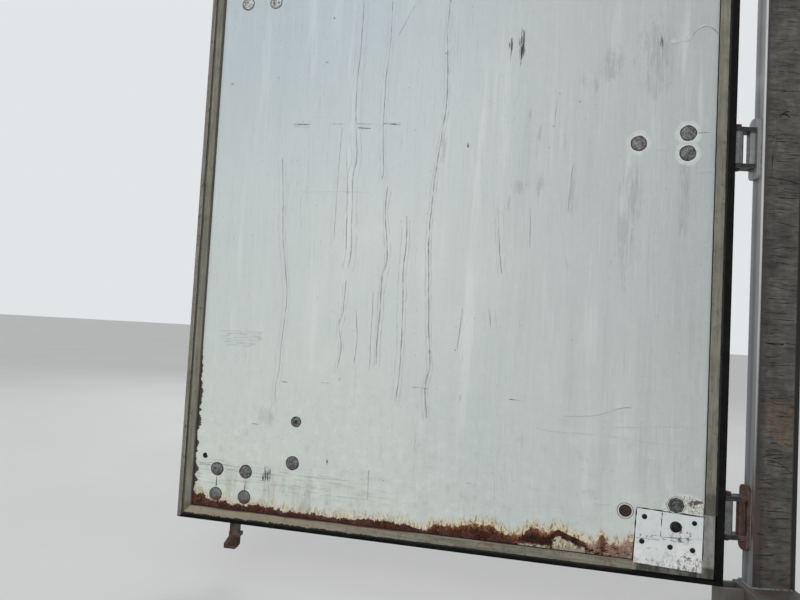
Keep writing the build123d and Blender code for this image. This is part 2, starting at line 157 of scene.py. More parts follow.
class Paint:
    """One material, built from nodes in the coordinates of the row."""

    def __init__(self, name, roughness=0.5, metallic=0.0, specular=0.5):
        self.material = bpy.data.materials.new(name)
        self.material.use_nodes = True
        self.tree = self.material.node_tree
        self.shader = self.tree.nodes["Principled BSDF"]
        for key, value in (("Roughness", roughness), ("Metallic", metallic), ("Specular IOR Level", specular)):
            self.shader.inputs[key].default_value = value
        self.place = self.node("TexCoord").outputs["Object"]
        self.offset = 0.0
        self.x, self.y, self.z = (self.along(self.place, k) for k in range(3))

    def node(self, kind, inputs=None, **settings):
        made = self.tree.nodes.new("ShaderNode" + kind)
        for key, value in settings.items():
            setattr(made, key, value)
        for key, value in (inputs or {}).items():
            self.put(made.inputs[key], value)
        return made

    def put(self, socket, value):
        if isinstance(value, (Value, Coat)):
            value = value.socket
        if isinstance(value, bpy.types.NodeSocket):
            self.tree.links.new(value, socket)
        else:
            socket.default_value = value

    def math(self, operation, a, b):
        made = self.node("Math", {0: a, 1: b, 2: 0.0}, operation=operation)
        return Value(self, made.outputs[0])

    def moved(self, place, scale=(1, 1, 1), turn=(0, 0, 0), shift=(0, 0, 0)):
        made = self.node("Mapping", {"Vector": place, "Scale": scale, "Rotation": turn, "Location": shift})
        return made.outputs["Vector"]

    def along(self, place, axis):
        """One coordinate of a place, between -2 and 6. A gradient gives it without a change of socket
        type, which keeps a long material small enough to compile."""
        turn = ((0, 0, 0), (0, 0, -math.pi / 2), (0, math.pi / 2, 0))[axis]
        shifted = self.moved(place, (0.125,) * 3, turn, (0.25, 0, 0))
        gradient = self.node("TexGradient", {"Vector": shifted}, gradient_type="LINEAR")
        return Value(self, gradient.outputs["Fac"]) * 8.0 - 2.0

    def blob(self, s, h, length, height):
        """1 at the centre of an ellipse on the leaf, going straight to 0 at its rim. In metres."""
        scale = (1 / length, 0.0, 1 / height)
        spot = self.moved(self.lie, scale, shift=(-s * scale[0], 0.0, -h * scale[2]))
        made = self.node("TexGradient", {"Vector": spot}, gradient_type="SPHERICAL")
        return Value(self, made.outputs["Fac"])

    def noise(self, scale, detail=2.0, rough=0.5, bend=0.0, place=None):
        """Noise with a scale per metre, or one scale for each axis. Each call moves it on."""
        self.offset += 7.3
        stretch = scale if isinstance(scale, tuple) else (scale,) * 3
        spot = self.moved(place or self.place, stretch, shift=(self.offset, self.offset * 0.7, 3.1))
        made = self.node("TexNoise", {"Vector": spot, "Scale": 1.0, "Detail": detail,
                                      "Roughness": rough, "Distortion": bend})
        return Value(self, made.outputs["Fac"])

    def streaks(self, *look):
        """Noise with its scales along s, n and h of the leaf."""
        return self.noise(*look, place=self.lie)

    def cells(self, scale, feature="F1"):
        self.offset += 5.1
        stretch = scale if isinstance(scale, tuple) else (scale,) * 3
        spot = self.moved(self.place, stretch, shift=(self.offset, 1.7, self.offset))
        made = self.node("TexVoronoi", {"Vector": spot, "Scale": 1.0}, feature=feature)
        return Value(self, made.outputs["Distance"])

    def curve(self, value, points):
        """value, in metres, turned into another length by a smooth line through points in mm."""
        points = [(a / 1000, b / 1000) for a, b in points]
        xs, ys = zip(*points)
        low, span = min(ys), max(max(ys) - min(ys), 1e-6)
        share = self.node("MapRange", {"Value": value, "From Min": min(xs), "From Max": max(xs)}, clamp=False)
        made = self.node("FloatCurve", {"Value": share.outputs["Result"]})
        line = made.mapping.curves[0]
        ready = sorted(((x - min(xs)) / (max(xs) - min(xs)), (y - low) / span) for x, y in points)
        while len(line.points) < len(ready):
            line.points.new(0.5, 0.5)
        for knot, spot in zip(line.points, ready):
            knot.location = spot
        made.mapping.update()
        return Value(self, made.outputs["Value"]) * span + low

    def shades(self, value, *stops):
        """A coat picked along a row of stops: a place and the three numbers of a tone, or a ready colour."""
        made = self.node("ValToRGB", {"Fac": value})
        bar = made.color_ramp.elements
        while len(bar) < len(stops):
            bar.new(0.5)
        for slot, (spot, *look) in zip(bar, stops):
            slot.position = spot
            slot.color = tone(*look) if len(look) == 3 else look[0]
        return Coat(self, made.outputs["Color"])

    def edges(self, radius):
        """1 along the sharp edges of a solid, 0 on its flats."""
        soft = self.node("Bevel", {"Radius": radius}, samples=4).outputs[0]
        hard = self.node("NewGeometry").outputs["Normal"]
        near = self.node("VectorMath", {0: soft, 1: hard}, operation="DOT_PRODUCT").outputs["Value"]
        return Value(self, near).ramp(0.985, 0.8)

    def facing(self, direction):
        """How far the surface faces a direction, from -1 to 1, before any pose."""
        hard = self.node("NewGeometry").outputs["Normal"]
        local = self.node("VectorTransform", {"Vector": hard}, vector_type="NORMAL",
                          convert_from="WORLD", convert_to="OBJECT").outputs[0]
        made = self.node("VectorMath", {0: local, 1: tuple(direction)}, operation="DOT_PRODUCT")
        return Value(self, made.outputs["Value"])

    def on_leaf(self):
        """Sets lie to the leaf coordinates (s, n, h) in metres, and gives s and h."""
        shift = (SHEET_EDGE / 1000 + ALONG.dot(PIN), INNER_FACE / 1000 - OUT.dot(PIN), -SHEET_BOTTOM / 1000)
        self.lie = self.moved(self.place, turn=(0, 0, TURN - math.pi / 2), shift=shift)
        return self.along(self.lie, 0), self.along(self.lie, 2)

    def rust(self):
        fine = self.noise(330, 4, 0.65)
        broad = self.noise(48, 3, 0.6)
        return self.shades(fine * 0.55 + broad * 0.45,
                           (0.3, 36, 22, 18), (0.43, 66, 38, 28), (0.52, 88, 50, 35), (0.6, 112, 66, 42),
                           (0.72, 96, 64, 50))

    def done(self, colour, roughness=None, height=None, depth=0.0005, strength=0.6):
        self.put(self.shader.inputs["Base Color"], colour)
        if roughness is not None:
            self.put(self.shader.inputs["Roughness"], roughness)
        if height is not None:
            bump = self.node("Bump", {"Height": height, "Distance": depth, "Strength": strength})
            self.put(self.shader.inputs["Normal"], bump.outputs["Normal"])
        return self.material


# Long marks on the sheet: half width in mm, then points (s, h).
UPRIGHT_MARKS = [
    (1.5, (585, 1268), (581, 1186), (584, 1128), (587, 1006), (575, 890), (566, 794), (562, 679),
          (569, 537), (575, 443), (580, 383), (575, 355), (572, 322), (578, 262)),
    (1.2, (442, 1268), (443, 1203), (442, 1143), (437, 1093), (436, 1019), (437, 920), (443, 856), (440, 822)),
    (1.4, (456, 807), (452, 749), (463, 638), (454, 580), (453, 508), (450, 436), (451, 379)),
    (1.2, (369, 1272), (368, 1146), (364, 1045), (366, 970), (374, 881), (367, 836), (369, 772),
          (370, 723), (373, 650), (368, 606)),
    (1.3, (506, 735), (508, 663), (504, 606), (507, 558), (509, 463), (509, 383), (505, 317), (503, 293)),
    (1.0, (182, 876), (190, 770), (196, 680), (215, 546), (214, 486), (209, 407), (208, 348),
          (202, 313), (203, 255)),
    (1.1, (365, 576), (362, 503), (354, 464), (362, 416), (356, 358)),
    (0.9, (394, 505), (400, 443), (397, 375)),
    (0.9, (434, 550), (435, 435), (435, 364)),
    (0.7, (332, 951), (329, 821), (328, 673)),
    (0.7, (346, 891), (356, 797), (360, 649)),
    (0.8, (500, 1255), (460, 1177)),
    (1.0, (719, 763), (730, 637), (736, 605)),
    (0.8, (842, 1010), (838, 945)),
    (0.9, (883, 857), (876, 751)),
    (0.9, (792, 759), (796, 667)),
    (0.9, (650, 522), (641, 424)),
    (1.0, (712, 524), (716, 480)),
    (0.8, (448, 129), (448, 59)),
    (0.8, (295, 80), (292, 51)),
]
LEVEL_MARKS = [
    (0.9, (886, 292), (950, 299), (1002, 318), (1028, 323)),
    (0.8, (836, 259), (873, 257), (996, 256), (1074, 250), (1168, 247)),
    (0.8, (991, 276), (1095, 287), (1171, 290)),
    (0.5, (238, 791), (325, 792), (412, 792)),
    (1.6, (1144, 930), (1162, 931), (1180, 932)),
    (0.8, (1057, 893), (1120, 891), (1177, 890)),
    (1.0, (1146, 841), (1176, 844)),
    (1.0, (1159, 681), (1179, 682)),
    (1.9, (205, 962), (249, 961)), (1.4, (209, 955), (249, 954)), (2.4, (308, 961), (334, 961)),
    (1.9, (372, 951), (405, 949)), (1.2, (368, 961), (406, 960)), (2.2, (436, 960), (478, 959)),
    (1.4, (217, 320), (233, 320)), (1.5, (317, 325), (338, 326)), (1.3, (144, 212), (165, 211)),
    (1.1, (542, 331), (578, 330)), (1.3, (763, 321), (801, 319)), (1.2, (676, 123), (689, 123)),
    (0.8, (956, 118), (974, 121), (993, 116)), (0.8, (956, 110), (976, 107), (993, 111)),
    (0.9, (10, 104), (60, 107), (120, 101)), (0.9, (40, 95), (150, 96)), (1.0, (12, 99), (34, 101), (58, 96)),
    (0.8, (96, 90), (150, 93), (212, 88)), (0.9, (150, 84), (205, 86)),
    (0.7, (225, 102), (330, 98), (400, 99)), (0.8, (60, 60), (120, 56)), (0.7, (240, 74), (320, 70)),
    (0.7, (330, 58), (452, 61)),
]
# Upright runs from the upper bearing bolts down to the lower ones.
BOLT_RUNS = [(1.6, (61.5, 78), (61.8, 60), (61.0, 48)), (1.4, (137.5, 78), (137.8, 62), (137.2, 48))]
# Bundles of short upright scratches: (s, h, half length, half height) in mm, the dark ones first.
DARK_RUBS = [
    (757, 1147, 6, 58), (757, 1128, 8, 24), (732, 1139, 4, 34), (296, 1230, 3.4, 3.4), (283, 1118, 4, 3.4),
    (31, 1069, 4, 3.6), (582, 1129, 3.6, 4), (344, 138, 3, 9), (643, 904, 2.4, 12), (1063, 1137, 3.6, 20),
    (187, 93, 2.6, 27), (191, 93, 2.4, 30), (196, 95, 2.6, 26), (202, 96, 2, 24), (183, 84, 2, 14),
]
PALE_RUBS = [
    (926, 1043, 9, 34), (765, 810, 17, 24), (812, 815, 14, 44), (830, 330, 13, 6), (961, 341, 5, 4),
    (1044, 390, 13, 8), (800, 232, 6, 28), (180, 185, 3, 32), (899, 1055, 7, 26), (190, 230, 16, 30),
]
# Soft smudges on the sheet: (s, h, half length, half height) in mm.
SMUDGES = [
    (926, 1043, 9, 38), (783, 976, 7, 30), (807, 931, 9, 32), (765, 810, 18, 28), (812, 815, 14, 48),
    (744, 768, 6, 34), (654, 314, 7, 15), (877, 628, 7, 44), (1012, 780, 34, 130), (1050, 1096, 60, 150),
    (885, 801, 12, 90), (899, 1055, 9, 30), (960, 1090, 40, 60), (757, 1140, 12, 70), (862, 930, 7, 50),
    (1000, 700, 30, 200), (587, 900, 9, 60), (1120, 800, 18, 220), (180, 230, 40, 40),
]
# Scrapes on the post's face to the opening: half width in mm, then points (x, z).
POST_MARKS = [
    (1.3, (-13, 1153), (-5, 1164), (8, 1168)), (1.5, (-15, 1159), (0, 1161), (9, 1153)),
    (1.1, (-11, 1148), (4, 1150)), (0.6, (-42, 1118), (27, 1115)), (0.6, (-23, 1107), (29, 1107)),
    (1.3, (-38, 1099), (-3, 1100), (29, 1098)), (0.8, (-27, 1113), (-26, 1058), (-29, 1019)),
    (1.2, (-31, 1019), (-1, 1016), (32, 1008)), (0.7, (-18, 1073), (30, 1072)),
    (0.8, (-15, 987), (32, 987)), (0.9, (-17, 983), (32, 982)), (0.6, (-11, 977), (32, 976)),
    (0.8, (-16, 923), (33, 914)), (0.9, (-33, 849), (8, 849)), (0.8, (-27, 837), (33, 828)),
    (0.9, (-32, 787), (-4, 780), (33, 774)), (0.7, (-31, 781), (33, 788)), (0.7, (-37, 757), (33, 754)),
    (0.7, (-33, 746), (33, 747)), (0.8, (-42, 712), (30, 710)), (0.6, (-42, 701), (31, 698)),
    (2.0, (-32, 660), (-13, 658), (8, 659)), (1.2, (10, 661), (33, 659)), (0.9, (-36, 632), (0, 632)),
    (1.0, (-26, 430), (10, 429)), (1.0, (-26, 422), (16, 423)), (0.8, (-24, 415), (14, 412)),
    (0.9, (-24, 411), (6, 404), (33, 385)), (0.7, (-23, 402), (27, 396)),
    (1.1, (-45, 385), (7, 384), (33, 385)),
    (0.9, (-31, 370), (1, 355)), (0.6, (-37, 368), (-10, 360)), (1.0, (-19, 303), (33, 302)),
    (0.9, (-16, 270), (22, 269)), (0.6, (-17, 242), (31, 240)), (0.6, (-41, 892), (15, 890)),
    (0.6, (-40, 949), (3, 951)), (0.5, (-36, 1036), (31, 1034)), (0.5, (-40, 539), (28, 535)),
    (0.5, (-37, 590), (10, 592)), (0.6, (-13, 336), (33, 332)), (0.5, (-25, 870), (31, 868)),
    (0.6, (-27, 1181), (27, 1177)),
]
POST_RUST_MARKS = [
    (1.3, (-24, 531), (9, 531)), (1.3, (-22, 470), (9, 470)), (1.5, (9, 533), (9.5, 490), (9, 447)),
    (2.6, (13, 512), (22, 508), (31, 511)), (2.2, (14, 494), (30, 492)), (1.4, (13, 512), (14, 470)),
    (1.0, (-20, 500), (-4, 498)), (0.9, (-18, 486), (-6, 485)),
]
# Top of the rust along the bottom edge of the sheet: points (s, h).
RUST_TOP = [(-22, 24), (-5, 28), (10, 23), (21, 31), (35, 24), (50, 15), (73, 15), (89, 19), (103, 12), (158, 14),
            (190, 17), (223, 12), (276, 10), (339, 11), (407, 10), (439, 14), (482, 16), (526, 15), (557, 12),
            (587, 7), (599, 11), (616, 21), (660, 25), (699, 31), (718, 35), (745, 30), (762, 24), (781, 18),
            (799, 20), (812, 27), (828, 41), (841, 40), (857, 33), (867, 34), (883, 42), (899, 36), (919, 29),
            (935, 25), (955, 20), (968, 31), (977, 40), (988, 28), (1006, 25), (1025, 33), (1040, 37), (1200, 12)]
# Middle of the dark scale that arches over the worst rust; its darkness is partly painted shadow under its lifted
# edge.
ARCH = [(780, 6), (808, 11), (831, 19), (852, 17), (865, 21), (875, 30), (884, 37), (896, 32), (912, 26), (925, 22),
        (938, 18), (960, 12)]
# Bolt heads on the inner face: (s, h, radius, kind). Those of the middle bearing are painted bright, as a painted
# reflection. The lowest hinge has an old one, one that the patch hides and a rusty one at the strap's tip.
INNER_BOLTS = [(*CATCH_BOLTS[0], 16.5, "round"), (*CATCH_BOLTS[1], 12.6, "holed")]
INNER_BOLTS += [(s, h, 16.2, "bright" if 4 <= rank < 8 else "round") for rank, (s, h) in enumerate(BEARING_BOLTS)]
for rank, z in enumerate(HINGES):
    for (u, rise), kind in zip(STRAP_BOLTS, ("hinge",) * 3 if rank else ("old", "hidden", "tip")):
        INNER_BOLTS.append((SHEET_EDGE - u, z - SHEET_BOTTOM + rise, 17.0 if rank else 12.6, kind))


def rust_line(p, s):
    ragged = (p.streaks((58, 0, 22), 3, 0.7) - 0.5) * 0.022 + (p.noise(150, 4, 0.7) - 0.5) * 0.022
    return p.curve(s, RUST_TOP) + ragged


def rust_colour(p, s, h, above):
    """Flaking rust: dark maroon, an orange fringe where it is thick, a black brown scale over the worst place, its
    darkness partly painted shadow under its lifted edge, and pinkish dust at the hinge end. Gives the height of the
    scale too."""
    fine = p.noise(330, 4, 0.65)
    broad = p.streaks((50, 0, 100), 3, 0.65)
    coat = p.shades(fine * 0.5 + broad * 0.5, (0.32, 24, 14, 12), (0.43, 50, 27, 22),
                      (0.53, 76, 42, 32), (0.62, 98, 60, 45), (0.72, 126, 90, 72))
    spikes = p.streaks((170, 0, 30), 3, 0.7)
    glow = (above + (spikes - 0.5) * 0.034).ramp(-0.0115, -0.003) * s.ramp(0.56, 0.66)
    coat.lay(glow * 0.75, p.shades(spikes, (0.4, 84, 46, 28), (0.62, 146, 88, 48)))
    dusty = s.window(0.935, 1.05, 0.015) * broad.ramp(0.36, 0.46)
    coat.lay(dusty * 0.85, p.shades(fine, (0.4, 128, 98, 88), (0.6, 168, 144, 130)))
    arch = p.curve(s, ARCH) + (p.noise(75, 3, 0.7) - 0.5) * 0.028
    # The dark scale: partly its own colour, partly painted shadow under its lifted edge.
    scale = abs(h - arch + (fine - 0.5) * 0.012).ramp(0.0085, 0.004) * s.window(0.8, 0.94, 0.014)
    coat.lay(scale * 0.85, p.shades(fine, (0.4, 27, 18, 14), (0.62, 62, 40, 29)))
    run = abs(s - 0.978 + (spikes - 0.5) * 0.012).ramp(0.009, 0.004)
    return coat.lay(run * 0.8, 82, 44, 28), arch


def smudges(p, streak):
    total = reduce(or_, (p.blob(*(v / 1000 for v in spot)) for spot in SMUDGES))
    patchy = p.streaks((60, 0, 26), 3, 0.65)
    return (streak + total * 0.15).ramp(0.47, 0.66) * (total + (patchy - 0.5) * 1.6).ramp(0.15, 0.75)


def sheet_paint():
    p = Paint("door_inner_paint", 0.42)
    s, h = p.on_leaf()
    cloud = p.noise(3.1, 3, 0.6)
    coat = p.shades(cloud, (0.3, 186, 195, 192), (0.55, 192, 199, 195), (0.75, 199, 203, 197))
    # Painted light: a bluish painted sky reflection over the upper part towards the free edge, then painted shade
    # towards the hinge side, mostly high up, and darkest on the strip by the hinge.
    coat.lay(h.ramp(0.5, 1.3) * s.ramp(1.1, 0.3) * 0.8, 171, 183, 190)
    shade = s.ramp(0.4, 1.02) * h.ramp(0.0, 0.8, 0.35, 1.0)
    coat.lay(shade * 0.9, 168, 175, 174)
    coat.lay(s.ramp(1.02, 1.14) * 0.3, 148, 154, 152)
    # Weathering in upright lines: soft bands, fine hairs and bright rubs.
    band = p.streaks((24, 0, 1.6), 3, 0.62)
    patchy = p.streaks((5, 0, 2.4), 2).ramp(0.36, 0.66)
    worn = s.ramp(0.45, 0.95)
    coat.lay(band.ramp(0.5, 0.76) * (worn * 0.2 + 0.1), 146, 153, 151)
    coat.lay(band.ramp(0.45, 0.28) * 0.3, 214, 219, 216)
    hair = p.streaks((430, 0, 10), 3, 0.7)
    coat.lay(hair.ramp(0.57, 0.75) * (patchy * 0.3 + 0.1), 120, 126, 124)
    coat.lay(hair.ramp(0.42, 0.3) * 0.2, 216, 221, 218)
    coat.lay(smudges(p, p.streaks((250, 0, 18), 4, 0.75)) * 0.34, 112, 114, 112)
    # Chalky blooms and grime, most of them low down, and painted light that makes the lower part lighter.
    lower = h.ramp(0.5, 0.05)
    bloom = p.noise(46, 4, 0.65)
    # Painted light: the lower part is painted lighter, most towards the free edge.
    coat.lay(lower * s.ramp(0.8, 0.1, 0.1, 1.0) * 0.45, 205, 208, 198)
    smear = p.streaks((16, 0, 230), 4, 0.72).ramp(0.51, 0.64) * h.window(0.05, 0.115, 0.014)
    coat.lay(smear * s.ramp(0.62, 0.25, 0.1, 0.55), 132, 134, 124)
    coat.lay(bloom.ramp(0.5, 0.7) * (lower * s.ramp(0.85, 0.35, 0.35, 1.0) * 0.36 + 0.05), 220, 221, 212)
    coat.lay(bloom.ramp(0.44, 0.3) * (lower * 0.3 + 0.05), 160, 162, 152)
    speck = p.cells(120).ramp(0.12, 0.07) * patchy
    coat.lay(speck * 0.5, 92, 94, 90)
    hatch = s.window(0.045, 0.158, 0.006) * h.window(0.4, 0.44, 0.003)
    weave = p.streaks((45, 0, 640), 0, 0.5).ramp(0.52, 0.66)
    coat.lay(hatch * weave * 0.34, 120, 126, 124)
    # Peeled paint by the lower hinge, chips down the free edge.
    peel = p.blob(1.142, 0.112, 0.05, 0.04) | p.blob(1.165, 0.108, 0.03, 0.035)
    flakes = p.noise(84, 4, 0.7, 0.6) + peel * 0.18
    coat.lay(peel.ramp(0.0, 0.2), 206, 207, 200)
    ring = flakes.window(0.54, 0.59, 0.012) | flakes.window(0.66, 0.69, 0.01)
    coat.lay(peel.ramp(0.05, 0.25) * ring * 0.9, 84, 80, 74)
    spot = p.blob(1.1626, 0.131, 0.021, 0.014) + (p.noise(120, 4, 0.75) - 0.5) * 2.6
    coat.lay(spot.ramp(0.45, 0.6), 84, 72, 62)
    chip = p.streaks((0, 0, 30), 4, 0.75).ramp(0.36, 0.72) * 0.013 + 0.001
    chip = chip * h.ramp(0.42, 0.25) * h.ramp(0.0, 0.05, 0.6, 1.0)
    chip = chip + (p.noise(300, 2, 0.7) - 0.5) * 0.004
    # Rust creeping up from the bottom edge, with a yellow bloom over it.
    edge = rust_line(p, s)
    above = h - edge
    heavy = s.ramp(0.45, 0.7)
    until = s.ramp(1.05, 1.042)
    streak = p.streaks((150, 0, 34), 4, 0.7)
    reach = (above - (streak - 0.35) * 0.056).ramp(0.014, -0.006) * until
    coat.lay(reach * (heavy * 0.3 + 0.55), 206, 190, 154)
    blotch = p.streaks((250, 0, 90), 4, 0.75).ramp(0.47, 0.58)
    coat.lay(reach * blotch * (heavy * 0.3 + 0.6), 108, 76, 48)
    # Brownish runs and grime low down at the free end.
    stained = h.ramp(0.14, 0.03) * s.ramp(0.62, 0.2) * p.streaks((52, 0, 9), 4, 0.7).ramp(0.48, 0.66)
    coat.lay(stained * 0.5, 146, 140, 118)
    coat.lay((s - chip).ramp(0.003, -0.001), 196, 192, 176)
    coat.lay((s - chip).ramp(0.0005, -0.001), 50, 40, 34)
    body = above.ramp(0.0012, -0.0012) * until
    rust, arch = rust_colour(p, s, h, above)
    coat.lay(body, rust)
    speckled = p.noise(95, 3, 0.7)
    flake = (arch - h + (speckled - 0.5) * 0.012).ramp(0.005, 0.01) * s.window(0.872, 0.94, 0.006)
    flake = flake | (h + (speckled - 0.5) * 0.026).ramp(0.008, 0.003) * s.window(0.8, 0.868, 0.012)
    flake = flake * (blotch + speckled).ramp(1.35, 1.05)
    coat.lay(flake, p.shades(speckled, (0.4, 150, 134, 106), (0.56, 186, 182, 160)))
    lip = h.ramp(0.0065, 0.0045) * s.ramp(0.86, 0.9) * until
    coat.lay(lip * 0.85, 160, 138, 128)
    # Bare strip beside the patch, where the channel is gone.
    bare = s.ramp(1.176, 1.18) * h.ramp(0.13, 0.12)
    grey = p.streaks((90, 0, 30), 3, 0.65)
    coat.lay(bare, p.shades(grey, (0.3, 96, 96, 92), (0.55, 128, 129, 124), (0.75, 146, 146, 141)))
    under = h.ramp(0.004, -0.004) * s.ramp(1.04, 1.05)
    coat.lay(under, p.shades(grey, (0.35, 26, 25, 23), (0.5, 60, 58, 50), (0.7, 104, 104, 90)))
    rough = body.ramp(0.0, 1.0, 0.42, 0.9)
    low = h.ramp(0.045, 0.01)
    height = p.noise(7, 2) * 2.6 + p.noise(420, 1) * 0.12
    height = height - low * p.noise(300, 3, 0.7) * 0.8
    return p.done(coat, rough, height, 0.001, 0.5)


def outer_paint():
    p = Paint("door_outer_paint", 0.4)
    s, h = p.on_leaf()
    coat = p.shades(p.noise(2.4, 4, 0.6), (0.3, 184, 189, 187), (0.7, 199, 202, 198))
    broad = p.streaks((22, 0, 0.9), 3, 0.6)
    thin = p.streaks((130, 0, 1.8), 3, 0.65)
    runs = broad.ramp(0.5, 0.75) * 0.3 + thin.ramp(0.58, 0.76) * 0.25
    coat.lay(runs, 136, 138, 130)
    splash = (h + (p.noise(6, 4, 0.65) - 0.5) * 0.5).ramp(0.62, -0.05)
    coat.lay(splash * 0.55, 142, 134, 118)
    dust = p.cells(130).ramp(0.3, 0.1) * p.noise(20, 3).ramp(0.5, 0.66) * splash
    coat.lay(dust * 0.5, 104, 94, 80)
    scratch = p.streaks((420, 0, 18), 2, 0.6).ramp(0.66, 0.73) * p.noise(8, 3).ramp(0.46, 0.62)
    coat.lay(scratch * 0.5, 96, 98, 96)
    under = p.curve(s, RUST_TOP) * 0.45
    above = h - under - (p.noise(120, 4, 0.7) - 0.5) * 0.034
    coat.lay(above.ramp(0.022, 0.004) * 0.6, 172, 148, 116)
    edge = above.ramp(0.004, 0.0)
    coat.lay(edge, p.rust())
    # Dirt that has washed down from the straps and the bearings.
    wash = reduce(or_, (h.window((z - SHEET_BOTTOM - 320) / 1000, (z - SHEET_BOTTOM - 20) / 1000, 0.05)
                        for z in HINGES)) * s.window(1.01, 1.16, 0.02)
    rod = abs(s - ROD_S / 1000).ramp(0.06, 0.01)
    streak = p.streaks((180, 0, 2.5), 3, 0.6).ramp(0.42, 0.7)
    coat.lay((wash | rod * 0.8) * streak * 0.45, 122, 104, 82)
    height = p.noise(5, 3) * 3.0 + p.noise(420, 2) * 0.12 - edge * 0.5
    rough = (splash | edge).ramp(0.0, 1.0, 0.38, 0.75)
    return p.done(coat, rough, height, 0.001, 0.45)


def patch_paint():
    p = Paint("patch_paint", 0.45)
    s, h = p.on_leaf()
    coat = p.shades(p.noise(28, 3, 0.6), (0.3, 204, 208, 208), (0.7, 222, 222, 218))
    coat.lay(h.ramp(0.03, 0.06) * 0.5, 192, 198, 202)
    grime_and_shade = p.noise(62, 4, 0.7).ramp(0.52, 0.68)
    low = h.ramp(0.03, -0.01)
    coat.lay(grime_and_shade * (low * 0.7 + 0.16), 128, 124, 114)
    brushed = p.streaks((300, 0, 90), 4, 0.7).ramp(0.5, 0.6) * h.ramp(0.022, -0.006)
    coat.lay(brushed * s.ramp(1.09, 1.13, 0.35, 1.0) * 0.8, 78, 74, 68)
    chips = p.noise(150, 3, 0.7, 0.5).ramp(0.63, 0.66) * p.noise(22, 2).ramp(0.5, 0.62)
    worn = p.blob(1.136, 0.061, 0.03, 0.026) | p.blob(1.15, 0.012, 0.05, 0.03) * 0.7
    worn = worn.ramp(0.1, 0.6)
    coat.lay((chips | worn * p.noise(130, 3, 0.7).ramp(0.53, 0.57)) * 0.9, 60, 56, 52)
    height = p.noise(34, 3) * 0.8 + grime_and_shade * 0.15 - chips * 0.3
    return p.done(coat, grime_and_shade.ramp(0.0, 1.0, 0.42, 0.7), height, 0.0008, 0.5)


def plywood():
    p = Paint("plywood_edge", 0.8, 0.0, 0.2)
    layers = p.noise((40, 40, 260), 3, 0.6)
    coat = p.shades(layers, (0.3, 40, 32, 24), (0.5, 66, 52, 38), (0.7, 92, 74, 54))
    coat.lay(p.noise(300, 4).ramp(0.4, 0.7) * 0.5, 30, 26, 22)
    return p.done(coat, None, layers, 0.0006, 0.6)


def channel_plastic():
    """Olive strip, with the dark rubber along its outer edge and a painted shadow in the gap along its inner edge.
    """
    p = Paint("channel_olive", 0.7, 0.0, 0.2)
    s, h = p.on_leaf()
    left = (h - s).ramp(-0.0005, 0.0005) * s.ramp(0.02, 0.01)
    right = s.ramp(1.176, 1.18)
    upright = left | right
    out = ((0.0 - s) | (s - (SHEET_EDGE - 57) / 1000)) | ((0.0 - h) | (h - SHEET_TOP / 1000))
    run = p.streaks((240, 200, 14), 3, 0.65)
    rail = p.streaks((12, 200, 300), 3, 0.65)
    grain = run * upright + rail * (1.0 - upright)
    coat = p.shades(grain, (0.3, 92, 90, 79), (0.5, 116, 114, 102), (0.68, 136, 133, 120))
    coat.lay(left * 0.3, 92, 92, 84)
    coat.lay(right * 0.35, 92, 91, 82)
    low = h.ramp(0.0, -0.008)
    coat.lay(low * s.ramp(0.6, 0.2) * 0.7, 148, 139, 118)
    dust = p.noise(22, 3, 0.65).ramp(0.42, 0.7)
    coat.lay(dust * 0.35, 146, 141, 126)
    dark = p.noise(60, 4, 0.7).ramp(0.55, 0.72)
    coat.lay(dark * 0.5, 60, 57, 49)
    rusty = (p.noise(48, 3, 0.7) + out.ramp(0.014, 0.0) * 0.1).ramp(0.54, 0.64)
    coat.lay(rusty * low * s.ramp(0.3, 0.7, 0.15, 0.65), 104, 78, 56)
    foot = s.ramp(1.17, 1.18) * h.ramp(0.158, 0.15)
    coat.lay(foot * p.noise(90, 3, 0.7).ramp(0.35, 0.5) * 0.75, 70, 66, 58)
    coat.lay(left * h.ramp(0.014, -0.004) * 0.75, 80, 72, 64)
    crusted = (out + (grain - 0.5) * 0.006).ramp(0.0044, 0.0026) * h.ramp(0.001, -0.0005) * s.ramp(0.62, 0.5)
    crusted = crusted * s.ramp(0.0, 0.006) * s.ramp(0.04, 0.1, 0.3, 1.0)
    coat.lay(crusted, p.rust())
    ragged = (p.streaks((60, 60, 60), 3, 0.7) - 0.5) * (low * s.ramp(0.7, 0.2) * 0.012 + 0.003)
    rim = (out + ragged).ramp(0.0203, 0.0212)
    # Painted shadow: a dark line along the inner edge, in the gap to the sheet.
    gap_shadow = (out + ragged * 0.5 - left * h.ramp(0.2, 1.2, 0.0025, 0.0045) - 0.0012).ramp(0.0006, -0.0004)
    gap_shadow = gap_shadow * (1.0 - low)
    # Painted shade: a faint dark line along a groove of the free side's strip.
    groove_shade = left * out.window(0.0118, 0.0126, 0.0006)
    coat.lay(groove_shade * 0.25, 66, 66, 58)
    coat.lay((gap_shadow | rim) * (1.0 - left * 0.3), 26, 27, 27)
    height = grain * 0.5 + dark * 0.25
    return p.done(coat, dust.ramp(0.0, 1.0, 0.55, 0.85), height, 0.0006, 0.55)


